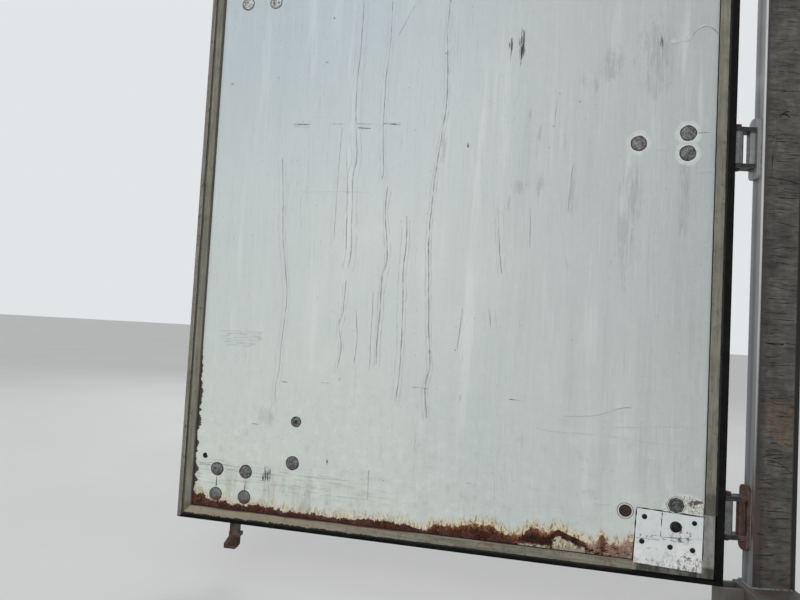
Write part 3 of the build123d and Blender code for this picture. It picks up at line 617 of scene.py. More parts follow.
def fin_rubber():
    """Black rubber. The fin on the free side is bleached and dusty."""
    p = Paint("fin_rubber", 0.75, 0.0, 0.06)
    s, h = p.on_leaf()
    dust = p.noise(36, 4, 0.7).ramp(0.42, 0.75)
    fine = p.noise(340, 3, 0.7)
    coat = p.shades(fine, (0.3, 8, 8, 9), (0.6, 14, 14, 15), (0.8, 24, 23, 23))
    coat.lay(dust * 0.1, 84, 80, 72)
    free = s.ramp(-0.0262, -0.0272) * (h - s).ramp(-0.0005, 0.0005)
    run = p.streaks((260, 60, 12), 3, 0.65)
    pale = p.shades(run, (0.3, 100, 97, 89), (0.5, 122, 118, 109), (0.7, 142, 138, 129))
    coat.lay(free * p.noise(60, 3, 0.7).ramp(0.66, 0.56, 0.6, 1.0), pale)
    crack = p.cells((160, 160, 60), "DISTANCE_TO_EDGE").ramp(0.04, 0.0)
    coat.lay(crack * 0.4, 10, 10, 10)
    return p.done(coat, dust.ramp(0.0, 1.0, 0.5, 0.85), fine * 0.4 - crack * 0.6, 0.0005, 0.6)


def frame_steel():
    """Post, sill end, plates and bumper. The post's rear face is painted, its face to the opening is scraped."""
    p = Paint("frame_steel", 0.55, 0.0, 0.3)
    post = p.z.ramp(0.138, 0.1402)
    rear = p.facing((-1, 0, 0)).ramp(0.35, 0.8)
    inside = p.facing((0, -1, 0)).ramp(0.5, 0.9)
    bend = p.facing(Vector((-1, -1, 0)).normalized()).ramp(0.9, 0.985) * post
    cloud = p.noise(9, 3, 0.6)
    coat = p.shades(cloud, (0.3, 72, 70, 68), (0.55, 86, 83, 80), (0.75, 98, 95, 91))
    coat.lay(rear * post, post_strip(p))
    # Face to the opening: dark brownish grey, smeared level, darker beside the bend.
    smear = p.noise((26, 30, 110), 4, 0.7)
    blot = p.noise((30, 30, 16), 3, 0.6)
    dark = p.shades(smear * 0.55 + blot * 0.45, (0.34, 44, 42, 40), (0.5, 72, 69, 65), (0.64, 94, 91, 86))
    flecks = p.noise((110, 110, 240), 3, 0.65).ramp(0.66, 0.72)
    dark.lay(flecks * 0.35, 110, 107, 102)
    rubbed = p.noise((75, 75, 8), 3, 0.65).ramp(0.5, 0.68) * p.x.ramp(0.0, -0.03, 0.25, 1.0)
    dark.lay(rubbed * 0.5, 46, 42, 42)
    orange = p.x.window(-0.026, 0.034, 0.008) * p.z.window(0.44, 0.535, 0.008)
    orange = orange * p.noise((60, 60, 110), 3, 0.65).ramp(0.42, 0.62)
    dark.lay(orange * 0.55, 106, 84, 60)
    lines = p.noise((14, 14, 520), 2, 0.6).ramp(0.6, 0.7) * blot.ramp(0.46, 0.6)
    dark.lay(lines * 0.6, 36, 33, 31)
    dark.lay(p.x.ramp(-0.036, -0.041) * 0.75, 56, 51, 56)
    dark.lay(p.x.ramp(0.031, 0.0355), 20, 19, 20)
    beside = (p.x + (blot - 0.5) * 0.03).ramp(-0.018, -0.036) * p.z.ramp(1.1, 0.5, 0.35, 1.0)
    dark.lay(beside * 0.65, 44, 40, 40)
    coat.lay(inside * post, dark)
    # Painted highlight along the bend, partly a worn bare edge, weaker lower down.
    bright = p.noise((60, 60, 9), 3, 0.6).ramp(0.3, 0.5, 0.55, 1.0)
    highlight_share = p.z.ramp(0.2, 1.1, 0.0, 0.9)
    coat.lay(bend * bright * highlight_share, 206, 206, 204)
    # Rust that has run down beside the lowest hinge, faint at the others.
    stain = reduce(or_, (p.z.window((z - 120) / 1000, (z + 85) / 1000, 0.05) * share
                         for z, share in zip(HINGES, (1.0, 0.06, 0.12, 0.15))))
    patchy = p.noise((70, 70, 9), 3, 0.65).ramp(0.4, 0.62)
    coat.lay(stain * patchy * p.x.ramp(0.004, -0.03) * 0.85, 72, 56, 46)
    low = (p.z + (cloud - 0.5) * 0.3).ramp(0.22, 0.02)
    coat.lay(low * p.noise(40, 4, 0.7).ramp(0.46, 0.64) * 0.45, p.rust())
    height = smear * 0.6 + p.noise(300, 3, 0.6) * 0.3
    return p.done(coat, cloud.ramp(0.3, 0.7, 0.45, 0.68), height, 0.0006, 0.6)


def post_strip(p):
    """The post's rear face: a painted highlight along the bend, partly a worn bare edge, then brownish, then
    lavender grey, in upright streaks. Low down the side by the bend is darker.
    """
    run = p.noise((190, 190, 2.4), 3, 0.65)
    across = (p.y + POST_HALF / 1000) * 22.7 + (run - 0.5) * 0.12
    strip = p.shades(across, (0.0, 196, 196, 194), (0.04, 196, 196, 194), (0.1, 142, 142, 141),
                     (0.3, 126, 127, 128), (0.44, 96, 98, 101), (0.54, 112, 114, 119),
                     (0.8, 132, 134, 141), (1.0, 112, 114, 120))
    strip.lay(run.ramp(0.56, 0.7) * 0.35, 96, 97, 101)
    # Low down, the side by the bend is darker, dimming the painted highlight there.
    return strip.lay(p.z.ramp(0.75, 0.3) * across.ramp(0.3, 0.05) * 0.8, 92, 92, 93)


def hinge_steel():
    """The butts on the post: dark steel, painted plates, and the lowest one brown."""
    p = Paint("hinge_steel", 0.65, 0.0, 0.3)
    grain = p.noise(120, 4, 0.65)
    coat = p.shades(grain, (0.3, 18, 18, 19), (0.5, 34, 34, 35), (0.7, 58, 58, 59))
    web = p.shades(grain, (0.3, 60, 60, 61), (0.5, 88, 88, 89), (0.7, 122, 122, 122))
    # Painted highlight: a pale line along the web's edge.
    web.lay(p.y.ramp(-0.0035, -0.0048) * 0.5, 160, 160, 158)
    low = p.z.ramp(0.6, 0.5)
    inner = reduce(or_, (abs(p.z - z / 1000).ramp(0.0362, 0.0358) for z in HINGES))
    coat.lay(p.x.ramp(-0.0672, -0.0652) * inner * (1.0 - low), web)
    coat.lay(p.x.ramp(-0.0562, -0.0552) * (1.0 - low), post_strip(p))
    patchy = p.noise(42, 4, 0.7)
    brown = p.shades(patchy, (0.3, 52, 38, 34), (0.5, 78, 57, 50), (0.7, 102, 80, 70))
    share = low * (p.x.ramp(-0.0672, -0.0652) * 0.5 + patchy).ramp(0.62, 0.72)
    coat.lay(share, brown)
    edge = p.edges(0.0016) * p.noise(70, 3).ramp(0.36, 0.52)
    coat.lay(edge * 0.55, 150, 148, 144)
    height = grain * 0.5 + share * p.noise(260, 4, 0.7) * 0.9
    return p.done(coat, share.ramp(0.0, 1.0, 0.5, 0.88), height, 0.0007, 0.7)


def hardware(name, light=0, rust_from=0.62, metallic=0.35):
    """Dull zinc with white bloom, grease and some rust."""
    p = Paint(name, 0.5, metallic)
    flakes = p.noise(180, 4, 0.6)
    broad = p.noise(24, 4, 0.6)
    coat = p.shades(flakes * 0.5 + broad * 0.5, (0.32, 88 + light, 89 + light, 90 + light),
                      (0.5, 116 + light, 117 + light, 118 + light),
                      (0.68, 142 + light, 143 + light, 143 + light))
    bloom = p.noise(58, 5, 0.7).ramp(0.54, 0.72)
    coat.lay(bloom * 0.35, 172, 172, 166)
    grease = p.noise(30, 5, 0.7).ramp(0.55, 0.7)
    coat.lay(grease * 0.6, 52, 48, 42)
    rusty = p.noise(50, 5, 0.72).ramp(rust_from, rust_from + 0.06)
    coat.lay(rusty, p.rust())
    edge = p.edges(0.0016) * p.noise(80, 4).ramp(0.36, 0.55)
    coat.lay(edge * 0.6, 186, 184, 178)
    height = flakes * 0.4 + rusty * p.noise(280, 4, 0.7) * 0.8 - grease * 0.15
    return p.done(coat, (rusty | grease).ramp(0.0, 1.0, 0.42, 0.8), height, 0.0005, 0.6)


def rusty_iron(name, dark=0.0, depth=0.0009, grey=0.0):
    p = Paint(name, 0.85, 0.0, 0.2)
    fine = p.noise(320, 5, 0.7)
    broad = p.noise(60, 4, 0.6)
    coat = p.rust().lay(broad.ramp(0.35, 0.65), 64, 46, 36)
    coat.lay(p.noise(130, 4, 0.65).ramp(0.56, 0.64) * 0.75, 34, 26, 22)
    coat.lay(dark, 46, 40, 37)
    coat.lay(p.noise(30, 3).ramp(0.35, 0.6) * grey, 118, 112, 102)
    edge = p.edges(0.0015) * p.noise(80, 4).ramp(0.42, 0.6)
    coat.lay(edge * 0.4, 140, 128, 114)
    return p.done(coat, None, fine * 0.7 + broad * 0.6, depth, 0.8)


def crust_rust():
    """Flaking rust along the bottom edge of the sheet."""
    p = Paint("crust_rust", 0.92, 0.0, 0.15)
    s, h = p.on_leaf()
    coat = rust_colour(p, s, h, h - rust_line(p, s))[0]
    rough = p.noise(420, 4, 0.7)
    pits = p.cells(130).ramp(0.36, 0.16)
    coat.lay(pits * 0.6 + 0.1, 24, 16, 13)
    return p.done(coat, None, rough + p.streaks((60, 0, 100), 2, 0.6), 0.0012, 0.9)


def scratched(name, dark, pale):
    """A thin mark in the paint, broken along its length."""
    p = Paint(name, 0.7, 0.0, 0.15)
    grain = p.noise(160, 3, 0.7)
    return p.done(p.shades(grain, (0.35, *dark), (0.65, *pale)), None, grain, 0.0002, 0.4)


def bolt_steel(name, level, metallic=0.25, specular=0.5):
    p = Paint(name, 0.55, metallic, specular)
    fine = p.noise(260, 4, 0.65)
    broad = p.noise(75, 3, 0.6)
    low, mid, high = (tone(*(v * level for v in rgb)) for rgb in ((58, 57, 56), (100, 100, 99), (150, 151, 150)))
    coat = p.shades(fine * 0.6 + broad * 0.4, (0.4, low), (0.5, mid), (0.6, high))
    rusty = p.noise(95, 5, 0.72).ramp(0.58, 0.66)
    low_down = p.z.ramp(0.42, 0.3, 0.15, 0.5)
    seat = (p.z + (broad - 0.5) * 0.03).ramp(0.21, 0.2)
    coat.lay(rusty * low_down, p.rust())
    coat.lay(p.z.ramp(0.235, 0.225) * 0.35, high)
    coat.lay(seat * 0.8, p.rust())
    coat.lay(p.edges(0.0014) * 0.45, low)
    return p.done(coat, rusty.ramp(0.0, 1.0, 0.45, 0.85), fine + broad * 0.6, 0.0006, 0.7)


MATERIALS = {
    "door_inner": sheet_paint(),
    "door_outer": outer_paint(),
    "patch": patch_paint(),
    "plywood": plywood(),
    "channel": channel_plastic(),
    "fin": fin_rubber(),
    "frame": frame_steel(),
    "hinge": hinge_steel(),
    "hardware": hardware("hardware_zinc"),
    "strap": hardware("strap_zinc", -24, 0.58, 0.2),
    "handle": hardware("handle_zinc", 10, 0.66),
    "pin": rusty_iron("pin_steel", 0.55, 0.0004),
    "cam": rusty_iron("cam_iron", 0.5, 0.0009, 0.45),
    "crust": crust_rust(),
    "weld": hardware("weld_steel", -22, 0.54, 0.2),
    "bolt": bolt_steel("bolt_heads", 0.84),
    "dark_bolt": bolt_steel("dark_bolt_heads", 0.8),
    "old_bolt": bolt_steel("old_bolt_heads", 0.7, 0.1, 0.3),
    # A brighter, more metallic copy of the bolt heads, as a painted reflection.
    "glinting_bolt": bolt_steel("painted_glint_bolt_heads", 1.45, 0.4),
    "screw": bolt_steel("screw_heads", 0.22, 0.0, 0.15),
    "tip_bolt": rusty_iron("rusty_bolt", 0.75, 0.0006),
    "scratch": scratched("scratch_dark", (174, 181, 180), (184, 190, 189)),
    "graze": scratched("scratch_pale", (180, 187, 185), (189, 195, 193)),
    "line": scratched("scratch_line", (162, 168, 168), (176, 182, 181)),
    "black_scratch": scratched("scratch_black", (50, 53, 54), (92, 96, 96)),
    "post_scratch": scratched("scratch_on_post", (26, 23, 21), (46, 42, 40)),
    "rust_mark": scratched("rust_mark", (86, 66, 50), (104, 78, 56)),
    # Dark rims round bolt heads and dark lines on the patch: grime and painted shade.
    "grime_and_shade": scratched("grime_and_shade", (34, 33, 31), (58, 56, 53)),
    "chalk": scratched("chalk", (190, 194, 191), (203, 206, 202)),
    "dull_chalk": scratched("dull_chalk", (182, 187, 185), (194, 198, 195)),
}

NODE_MATERIALS = {
    "inner_skin": "door_inner", "outer_skin": "door_outer", "plywood_core": "plywood", "repair_plate": "patch",
    "seal_channel": "channel", "seal_fins": "fin", "hinge_butt": "hinge", "hinge_pin": "pin",
    "hinge_strap": "strap", "rod_cam": "cam", "lock_handle": "handle", "handle_pivot_pin": "pin",
    "corner_": "frame", "post_head": "frame", "sill_end": "frame", "foot_plate": "frame",
}
for name, part in frame["nodes"].items():
    looks = [use for start, use in NODE_MATERIALS.items() if name.startswith(start)]
    finish = MATERIALS[looks[0] if looks else "hardware"]
    if not part.material_slots:
        part.data.materials.append(finish)
    for place in part.material_slots:
        place.material = finish


# Geometry

def rough_at(*place):
    """Noise of three numbers, from -1 to 1."""
    return noise.noise(Vector(place))


def cross_axes(axis, hint):
    u = hint.cross(axis)
    if u.length < 1e-3:
        u = Vector((1, 0, 0)).cross(axis)
    u.normalize()
    return u, axis.cross(u)


class Shape:
    """Points and faces of one piece, in metres in the row's frame."""

    def __init__(self):
        self.points = []
        self.faces = []

    def rings(self, rings, closed=False):
        """Joins rings of points, each one going round the way from ring to ring, and caps the ends."""
        first, count = len(self.points), len(rings[0])
        for ring in rings:
            self.points.extend(ring)
        steps = len(rings) if closed else len(rings) - 1
        for step in range(steps):
            a = first + step * count
            b = first + (step + 1) % len(rings) * count
            for i in range(count):
                j = (i + 1) % count
                self.faces.append((a + i, a + j, b + j, b + i))
        if not closed:
            last = first + (len(rings) - 1) * count
            self.faces.append(tuple(reversed(range(first, first + count))))
            self.faces.append(tuple(range(last, last + count)))

    def turned(self, centre, axis, profile, sides=36, corners=0, uneven=0.0, seed=0.0):
        """A turned piece. profile is (radius, height, share of a corner) in mm. corners is 6 for a hexagon."""
        u, v = cross_axes(axis, UP)
        rings = []
        for radius, height, *share in profile:
            ring = []
            for i in range(sides):
                angle = 2 * math.pi * i / sides
                r = radius
                if corners:
                    sector = 2 * math.pi / corners
                    flat = 1 / math.cos((angle % sector) - sector / 2)
                    r = radius * (1 + (flat - 1) * (share[0] if share else 1))
                if uneven:
                    r *= 1 + uneven * rough_at(math.cos(angle) * 1.5, math.sin(angle) * 1.5, seed + height * 0.2)
                ring.append(centre + (u * math.cos(angle) * r + v * math.sin(angle) * r + axis * height) * 0.001)
            rings.append(ring)
        self.rings(rings)

    def bead(self, path, radius, seed, closed=False):
        """A weld bead along a path of points, in ripples 3.4 mm apart."""
        points = []
        ends = path + path[:1] if closed else path
        for a, b in zip(ends, ends[1:]):
            steps = max(1, round((b - a).length / 0.0011))
            points += [a.lerp(b, i / steps) for i in range(steps)]
        if not closed:
            points.append(ends[-1])
        rings = []
        run = 0.0
        for i, point in enumerate(points):
            ahead = points[(i + 1) % len(points)] if closed or i + 1 < len(points) else point
            behind = points[i - 1] if closed or i else point
            axis = (ahead - behind).normalized()
            u, v = cross_axes(axis, Vector((0.31, 0.22, 0.93)))
            run += (ahead - point).length * 1000
            ripple = 0.84 + 0.2 * abs(math.sin(math.pi * run / 3.4))
            ripple *= 1 + 0.22 * rough_at(run * 0.11, seed, 0.0)
            if not closed:
                ripple *= min(1.0, 0.35 + 0.65 * min(i, len(points) - 1 - i) / 3)
            r = radius * ripple * 0.001
            turns = [k * math.pi / 4 for k in range(8)]
            rings.append([point + (u * math.cos(t) + v * math.sin(t)) * r for t in turns])
        self.rings(rings, closed)

    def piece(self, name, body, slot, material, sharp=35):
        mesh = bpy.data.meshes.new(name)
        mesh.from_pydata([tuple(q) for q in self.points], [], self.faces)
        mesh.validate()
        mesh.shade_smooth()
        mesh.set_sharp_from_angle(angle=math.radians(sharp))
        mesh.materials.append(MATERIALS[material])
        made = placed(name, mesh)
        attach(made, body)
        return made


def domed(radius, height):
    return [(radius * 0.9, -0.6), (radius, 0.0), (radius, height * 0.35), (radius * 0.965, height * 0.6),
            (radius * 0.86, height * 0.8), (radius * 0.6, height * 0.93), (radius * 0.3, height), (0.3, height)]


# Bolt heads on the inner face: broad and flat, one with its centre drilled. A dark rim of grime and painted shade
# lies round each, and chalky paint round those of the hinges.
heads = {kind: Shape() for kind in ("round", "bright", "hinge", "old", "tip")}
rims, halos, outer_halos = (Shape() for _ in range(3))
for index, (s, h, radius, kind) in enumerate(INNER_BOLTS):
    spot = leaf(s, h)
    if kind == "hidden":
        continue
    if kind in ("hinge", "old", "tip"):
        for shape, share, rise in ((outer_halos, 1.62, 0.03), (halos, 1.25, 0.05)):
            halo = radius * share
            flat = [(halo, -0.2), (halo - 0.3, rise), (0.3, rise + 0.01)]
            shape.turned(spot, -OUT, flat, 40, uneven=0.14, seed=index)
    rim = radius * (0.82 if kind == "tip" else 1.0) + 0.5
    radius *= 0.93
    rims.turned(spot, -OUT, [(rim, -0.2), (rim, 0.08), (0.3, 0.11)], 48, uneven=0.05, seed=index + 40)
    if kind == "holed":
        profile = [(radius * 0.9, -0.6), (radius, 0.0), (radius, 1.2), (radius * 0.93, 2.0), (radius * 0.7, 1.7),
                   (radius * 0.6, 2.3), (4.6, 2.5), (3.8, 1.9), (3.5, -0.4), (0.3, -0.4)]
        heads["round"].turned(spot, -OUT, profile, uneven=0.02, seed=index)
    elif kind == "tip":
        # A hole in a thin washer, with a rusty bolt in it.
        for outer, inner, seed in ((17.0, 16.0, index), (14.2, 13.4, index + 9)):
            ring = [(outer, -0.3), (outer, 0.35), (inner, 0.5), (inner - 0.3, 0.12), (0.3, 0.12)]
            (rims if outer > 16 else halos).turned(spot, -OUT, ring, 48, uneven=0.05, seed=seed)
        halos.turned(spot, -OUT, [(16.1, -0.2), (15.9, 0.3), (0.3, 0.3)], 48, uneven=0.05, seed=index)
        rims.turned(spot, -OUT, [(13.6, -0.2), (13.4, 0.5), (0.3, 0.5)], 48, uneven=0.05, seed=index)
        head = [(12.2, -0.3), (12.2, 1.0), (11.2, 2.0), (8.0, 2.6), (0.3, 2.8)]
        heads[kind].turned(spot, -OUT, head, 48, uneven=0.06, seed=index)
    elif kind == "old":
        # A dome on an octagonal washer, with chalk and a dark line round it, and a dark disc of grime and painted
        # shade at the dome's foot.
        for shape, around in ((rims, 1.54), (halos, 1.48), (rims, 1.34)):
            flat = [(around, -0.4), (around + 0.01, 0.2 - around / 10), (0.02, 0.2 - around / 10)]
            shape.turned(spot, -OUT, [(radius * r, z + 0.15) for r, z in flat], 48, 8)
        washer = [(1.26, -0.2), (1.27, 0.6), (1.2, 1.0), (1.0, 1.1), (0.02, 1.1)]
        heads[kind].turned(spot, -OUT, [(radius * r, z) for r, z in washer], 48, 8)
        rims.turned(spot, -OUT, [(radius * 1.0, 0.6), (radius, 1.25), (0.3, 1.25)], 48)
        dome = [(0.86, 0.6), (0.9, 2.4), (0.8, 3.6), (0.62, 4.2), (0.5, 3.6), (0.4, 4.4), (0.2, 4.8), (0.02, 4.8)]
        heads[kind].turned(spot, -OUT, [(radius * r, z) for r, z in dome], uneven=0.03, seed=index)
    else:
        profile = domed(radius, 2.2 if kind == "hinge" else 2.6)
        heads[kind].turned(spot, -OUT, profile, uneven=0.02, seed=index)
heads["old"].piece("old_bolt_head", "leaf", "hardware_steel", "old_bolt")
heads["bright"].piece("painted_glint_bolt_heads", "leaf", "hardware_steel", "glinting_bolt")
outer_halos.piece("dull_chalk_rings", "leaf", "skin_paint", "dull_chalk")
heads["round"].piece("inner_bolt_heads", "leaf", "hardware_steel", "dark_bolt")
heads["hinge"].piece("hinge_bolt_heads", "leaf", "hardware_steel", "bolt")
heads["tip"].piece("rusty_bolt_head", "leaf", "hardware_steel", "tip_bolt")
rims.piece("bolt_dirt_and_shade_rims", "leaf", "skin_paint", "grime_and_shade")
halos.piece("chalk_rings", "leaf", "skin_paint", "chalk")


# Marks, as thin strips that stand a hair above the paint
ABOVE = -0.06


def smooth_line(points, step):
    """Even places along a smooth line through the points."""
    line = []
    for i in range(len(points) - 1):
        before, start, end = points[max(i - 1, 0)], points[i], points[i + 1]
        after = points[min(i + 2, len(points) - 1)]
        count = max(1, round(math.dist(start, end) / step))
        for k in range(count):
            t = k / count
            line.append(tuple(
                0.5 * (2 * b + (c - a) * t + (2 * a - 5 * b + 4 * c - d) * t * t + (3 * b - a - 3 * c + d) * t ** 3)
                for a, b, c, d in zip(before, start, end, after)))
    return line + [tuple(points[-1])]


def mark(shape, points, half, place, seed, broken, wander, step=3.0, deep=0.15):
    """A scratch through points, half wide to each side. place gives a point from two coordinates and a depth
    below the surface, where the strip's underside lies deep. The greater broken is, the more gaps it has, and
    wander is how far it strays."""
    line = smooth_line(points, step)
    run = []

    def close():
        rings = []
        for k, (a, b, x, y, wide) in enumerate(run):
            wide *= min(1.0, 0.3 + 0.3 * min(k, len(run) - 1 - k))
            x, y = x * wide, y * wide
            rings.append([place(a + x, b + y, ABOVE), place(a - x, b - y, ABOVE),
                          place(a - x, b - y, deep), place(a + x, b + y, deep)])
        if len(rings) > 1:
            shape.rings(rings)
        run.clear()

    for k, (a, b) in enumerate(line):
        ahead, behind = line[min(k + 1, len(line) - 1)], line[max(k - 1, 0)]
        x, y = behind[1] - ahead[1], ahead[0] - behind[0]
        size = math.hypot(x, y)
        x, y = x / size, y / size
        far = k * step
        if rough_at(far * 0.045, seed, 0.5) > 1.0 - broken * 2.2:
            close()
            continue
        wide = half * max(0.25, 0.75 + 0.8 * rough_at(far * 0.07, seed, 7.5))
        off = wander * rough_at(far * 0.035, seed, 3.5)
        run.append((a + x * off, b + y * off, x, y, wide))
    close()


random.seed(4)
SCATTERED = 520
grazes, scratches, rubs, lines = (Shape() for _ in range(4))
for index, (half, *points) in enumerate(UPRIGHT_MARKS):
    mark(scratches, points, half * 1.3, leaf, index * 3.7, 0.0, 1.2)
    mark(lines, points, half * 0.42, leaf, index * 3.7, 0.0, 1.2, deep=0.2)
    if half > 0.95:  # Fainter ones run beside the wide ones.
        for side in (-1, 1):
            shift = side * random.uniform(5.0, 14.0)
            beside = [(s + shift, h - 8) for s, h in points]
            mark(grazes, beside, half * 0.85, leaf, index * 3.7 + 90 + side, 0.2, 2.6)
for index, (half, *points) in enumerate(LEVEL_MARKS):
    mark(scratches, points, half * 1.2, leaf, index * 2.9 + 300, 0.2, 0.8, 1.5)
    if half > 0.85:
        mark(rubs if half > 1.25 else lines, points, half * 0.55, leaf, index * 2.9 + 340, 0.33, 0.8, 1.5, 0.2)
wave = [(1080, 1139), (1104, 1137), (1121, 1144), (1136, 1160), (1153, 1168), (1168, 1162), (1178, 1150)]
mark(grazes, wave, 5.0, leaf, 620.0, 0.0, 0.8)
mark(scratches, wave[2:], 1.3, leaf, 630.0, 0.2, 0.8, deep=0.2)
for index, (half, *points) in enumerate(BOLT_RUNS):
    mark(rubs, points, half, leaf, index + 500, 0.0, 0.4)


def bundle(shape, s, h, length, height, seed, share, half):
    """Short upright scratches inside an ellipse."""
    for k in range(max(2, round(length * share))):
        across = random.uniform(-1, 1)
        reach = height * math.sqrt(1 - across * across)
        middle_h = h + reach * random.uniform(-0.35, 0.35)
        tall = reach * random.uniform(0.3, 0.75)
        lean = random.uniform(-0.5, 0.5)
        place_s = s + across * length
        points = [(place_s, middle_h - tall), (place_s + lean * 0.5, middle_h), (place_s + lean, middle_h + tall)]
        mark(shape, points, half * random.uniform(0.4, 1.0), leaf, seed + k * 1.3, 0.2, 0.5)


for index, spot in enumerate(DARK_RUBS):
    bundle(rubs, *spot, index * 11.0 + 1000, 2.4, 0.95)
for index, spot in enumerate(PALE_RUBS):
    bundle(grazes, *spot, index * 13.0 + 3000, 0.8, 0.6)
# Fine scratches scattered over the sheet, most of them upright.
for index in range(SCATTERED):
    s, h = random.uniform(12, SHEET_WIDTH - 12), random.uniform(70, SHEET_TOP - 20)
    tall = random.uniform(3, 20) * (3.0 if random.random() < 0.2 else 1.0)
    lean = random.uniform(-2.0, 2.0)
    points = [(s, h - tall), (s + lean, h + tall * 0.1), (s + lean * 1.6, h + tall)]
    if random.random() < 0.13:
        points = [(s - tall * 0.5, h), (s + tall * 0.5, h + lean)]
    mark(grazes if index % 4 else scratches, points, random.uniform(0.22, 0.5), leaf, index * 1.9 + 7000, 0.3, 0.8)
scratches.piece("scratches", "leaf", "skin_paint", "scratch", 180)
lines.piece("scratch_lines", "leaf", "skin_paint", "line", 180)
grazes.piece("grazes", "leaf", "skin_paint", "graze", 180)
rubs.piece("rubs", "leaf", "skin_paint", "black_scratch", 180)


def post_face(x, z, depth):
    """A place at a depth below the post's face to the opening, which looks to -y."""
    return Vector((x, -POST_HALF + depth, z)) * 0.001


scrapes, rust_marks = Shape(), Shape()
for index, (half, *points) in enumerate(POST_MARKS):
    mark(scrapes, points, half, post_face, index * 2.3 + 50, 0.2, 1.4, 2.0)
for index, (half, *points) in enumerate(POST_RUST_MARKS):
    mark(rust_marks, points, half, post_face, index * 2.3 + 150, 0.2, 1.0, 2.0)
for index in range(SCATTERED):
    x, z = random.uniform(-38, 20), random.uniform(160, 2900)
    length, lean = random.uniform(8, 60), random.uniform(-0.16, 0.16)
    start, end = max(x - length / 2, -40), min(x + length / 2, 32)
    points = [(start, z), ((start + end) / 2, z + lean * 12 + 0.6), (end, z + lean * length)]
    wide = random.uniform(0.25, 0.7) * (2.2 if random.random() < 0.12 else 1.0)
    mark(scrapes, points, wide, post_face, index * 1.7 + 900, 0.3, 1.0, 2.0)
scrapes.piece("post_scrapes", "post", "frame_steel", "post_scratch", 180)
rust_marks.piece("post_rust_marks", "post", "frame_steel", "rust_mark", 180)

# Swaged collars on the outer face.
collars = Shape()


def collar(spot, height, radius=8.6):
    flange = [(radius + 3.2, -0.5), (radius + 3.4, 1.0), (radius + 2.6, 2.4), (radius + 0.4, 3.2)]
    sleeve = [(radius, 4.0), (radius - 0.9, height - 1.0), (radius - 1.8, height)]
    collars.turned(spot, OUT, flange + sleeve, 40, uneven=0.02, seed=spot.z)
    bolt = [(4.9, -1.0), (4.9, 1.4), (4.4, 2.0), (3.0, 1.5), (0.3, 1.7)]
    collars.turned(spot, OUT, [(r, height + rise) for r, rise in bolt], 24, uneven=0.05, seed=spot.x)


for height in HINGES:
    for u, rise in STRAP_BOLTS:
        collar(by_pin(u, STRAP_FACE, height + rise), 8.0)
for s, h in BEARING_BOLTS:
    collar(leaf(s, h, BEARING_FACE), 9.0, 7.6)
collars.piece("lockbolt_collars", "leaf", "hardware_steel", "bolt")
nuts = Shape()
for s, h in CATCH_BOLTS:
    spot = leaf(s, h, CATCH_FACE)
    nuts.turned(spot, OUT, [(11.0, -0.4), (11.0, 1.4), (10.6, 1.6), (6.0, 1.6)], 36)
    nuts.turned(spot, OUT, [(8.0, 1.4), (8.2, 2.0), (8.2, 5.8), (7.9, 6.6, 0.0), (5.0, 6.6, 0.0)], 48, 6)
    nuts.turned(spot, OUT, [(4.0, 6.0), (4.0, 7.4), (3.4, 7.8), (0.3, 7.8)], 24)
nuts.piece("catch_nuts", "leaf", "hardware_steel", "dark_bolt")


def grid(shape, columns, rows, place, back):
    """A closed slab from two matching sheets of points."""
    first = len(shape.points)
    for make in (place, back):
        for row in range(rows + 1):
            for column in range(columns + 1):
                shape.points.append(make(column / columns, row / rows))
    count = (columns + 1) * (rows + 1)

    def index(column, row, side):
        return first + side * count + row * (columns + 1) + column

    for row in range(rows):
        for column in range(columns):
            a, b = index(column, row, 0), index(column + 1, row, 0)
            c, d = index(column + 1, row + 1, 0), index(column, row + 1, 0)
            shape.faces.append((a, b, c, d))
            shape.faces.append((d + count, c + count, b + count, a + count))
    rim = [(c, 0) for c in range(columns)] + [(columns, r) for r in range(rows)]
    rim += [(c, rows) for c in range(columns, 0, -1)] + [(0, r) for r in range(rows, 0, -1)]
    for (c1, r1), (c2, r2) in zip(rim, rim[1:] + rim[:1]):
        a, b = index(c1, r1, 0), index(c2, r2, 0)
        shape.faces.append((a, a + count, b + count, b))


# The patch: thin sheet pressed over the strap's bolts, ragged at its lower edge.
PATCH_S, PATCH_H = 1112.0, 48.0
PATCH_TILT = math.radians(2.5)
PATCH_WIDE, PATCH_HIGH = 136.0, 116.0
# A large bolt head on it, to the right of and above its centre.
PATCH_BOLT = (11.1, 30.7)


def on_patch(a, b, n):
    """a to the right and b up from the patch's centre, in mm."""
    s = PATCH_S + a * math.cos(PATCH_TILT) + b * math.sin(PATCH_TILT)
    h = PATCH_H - a * math.sin(PATCH_TILT) + b * math.cos(PATCH_TILT)
    return leaf(s, h, n)


def smooth(value, start, end):
    t = min(1.0, max(0.0, (value - start) / (end - start)))
    return t * t * (3 - 2 * t)


def patch_lift(a, b):
    """Where the front of the patch lies: pressed over the strap's bolts, its edges bent back to the sheet."""
    wave = rough_at(a * 0.05, b * 0.05, 4.0)
    edge = 1.0 - smooth(PATCH_HIGH / 2 - abs(b), 0.0, 9.0) * smooth(PATCH_WIDE / 2 - abs(a), 0.0, 9.0)
    raised = smooth(a, -19.0, -16.0) * smooth(b - a * 0.1, 5.5, 8.5)
    return min(-2.0 + 0.35 * wave - 0.9 * raised - 0.3 * smooth(b, -28, -31) + 0.55 * edge, -0.7)


def patch_point(x, y, front):
    a = (x - 0.5) * PATCH_WIDE - 4.0 * smooth(x, 0.5, 1.0) * y
    b = (y - 0.5) * PATCH_HIGH
    lift = patch_lift(a, b)
    ragged = (0.7 * rough_at(a * 0.12, 1.0, 2.0) + 1.2) * (1 - smooth(y, 0.0, 0.06))
    return on_patch(a, b + ragged, lift if front else min(lift + 1.3, 0.0))


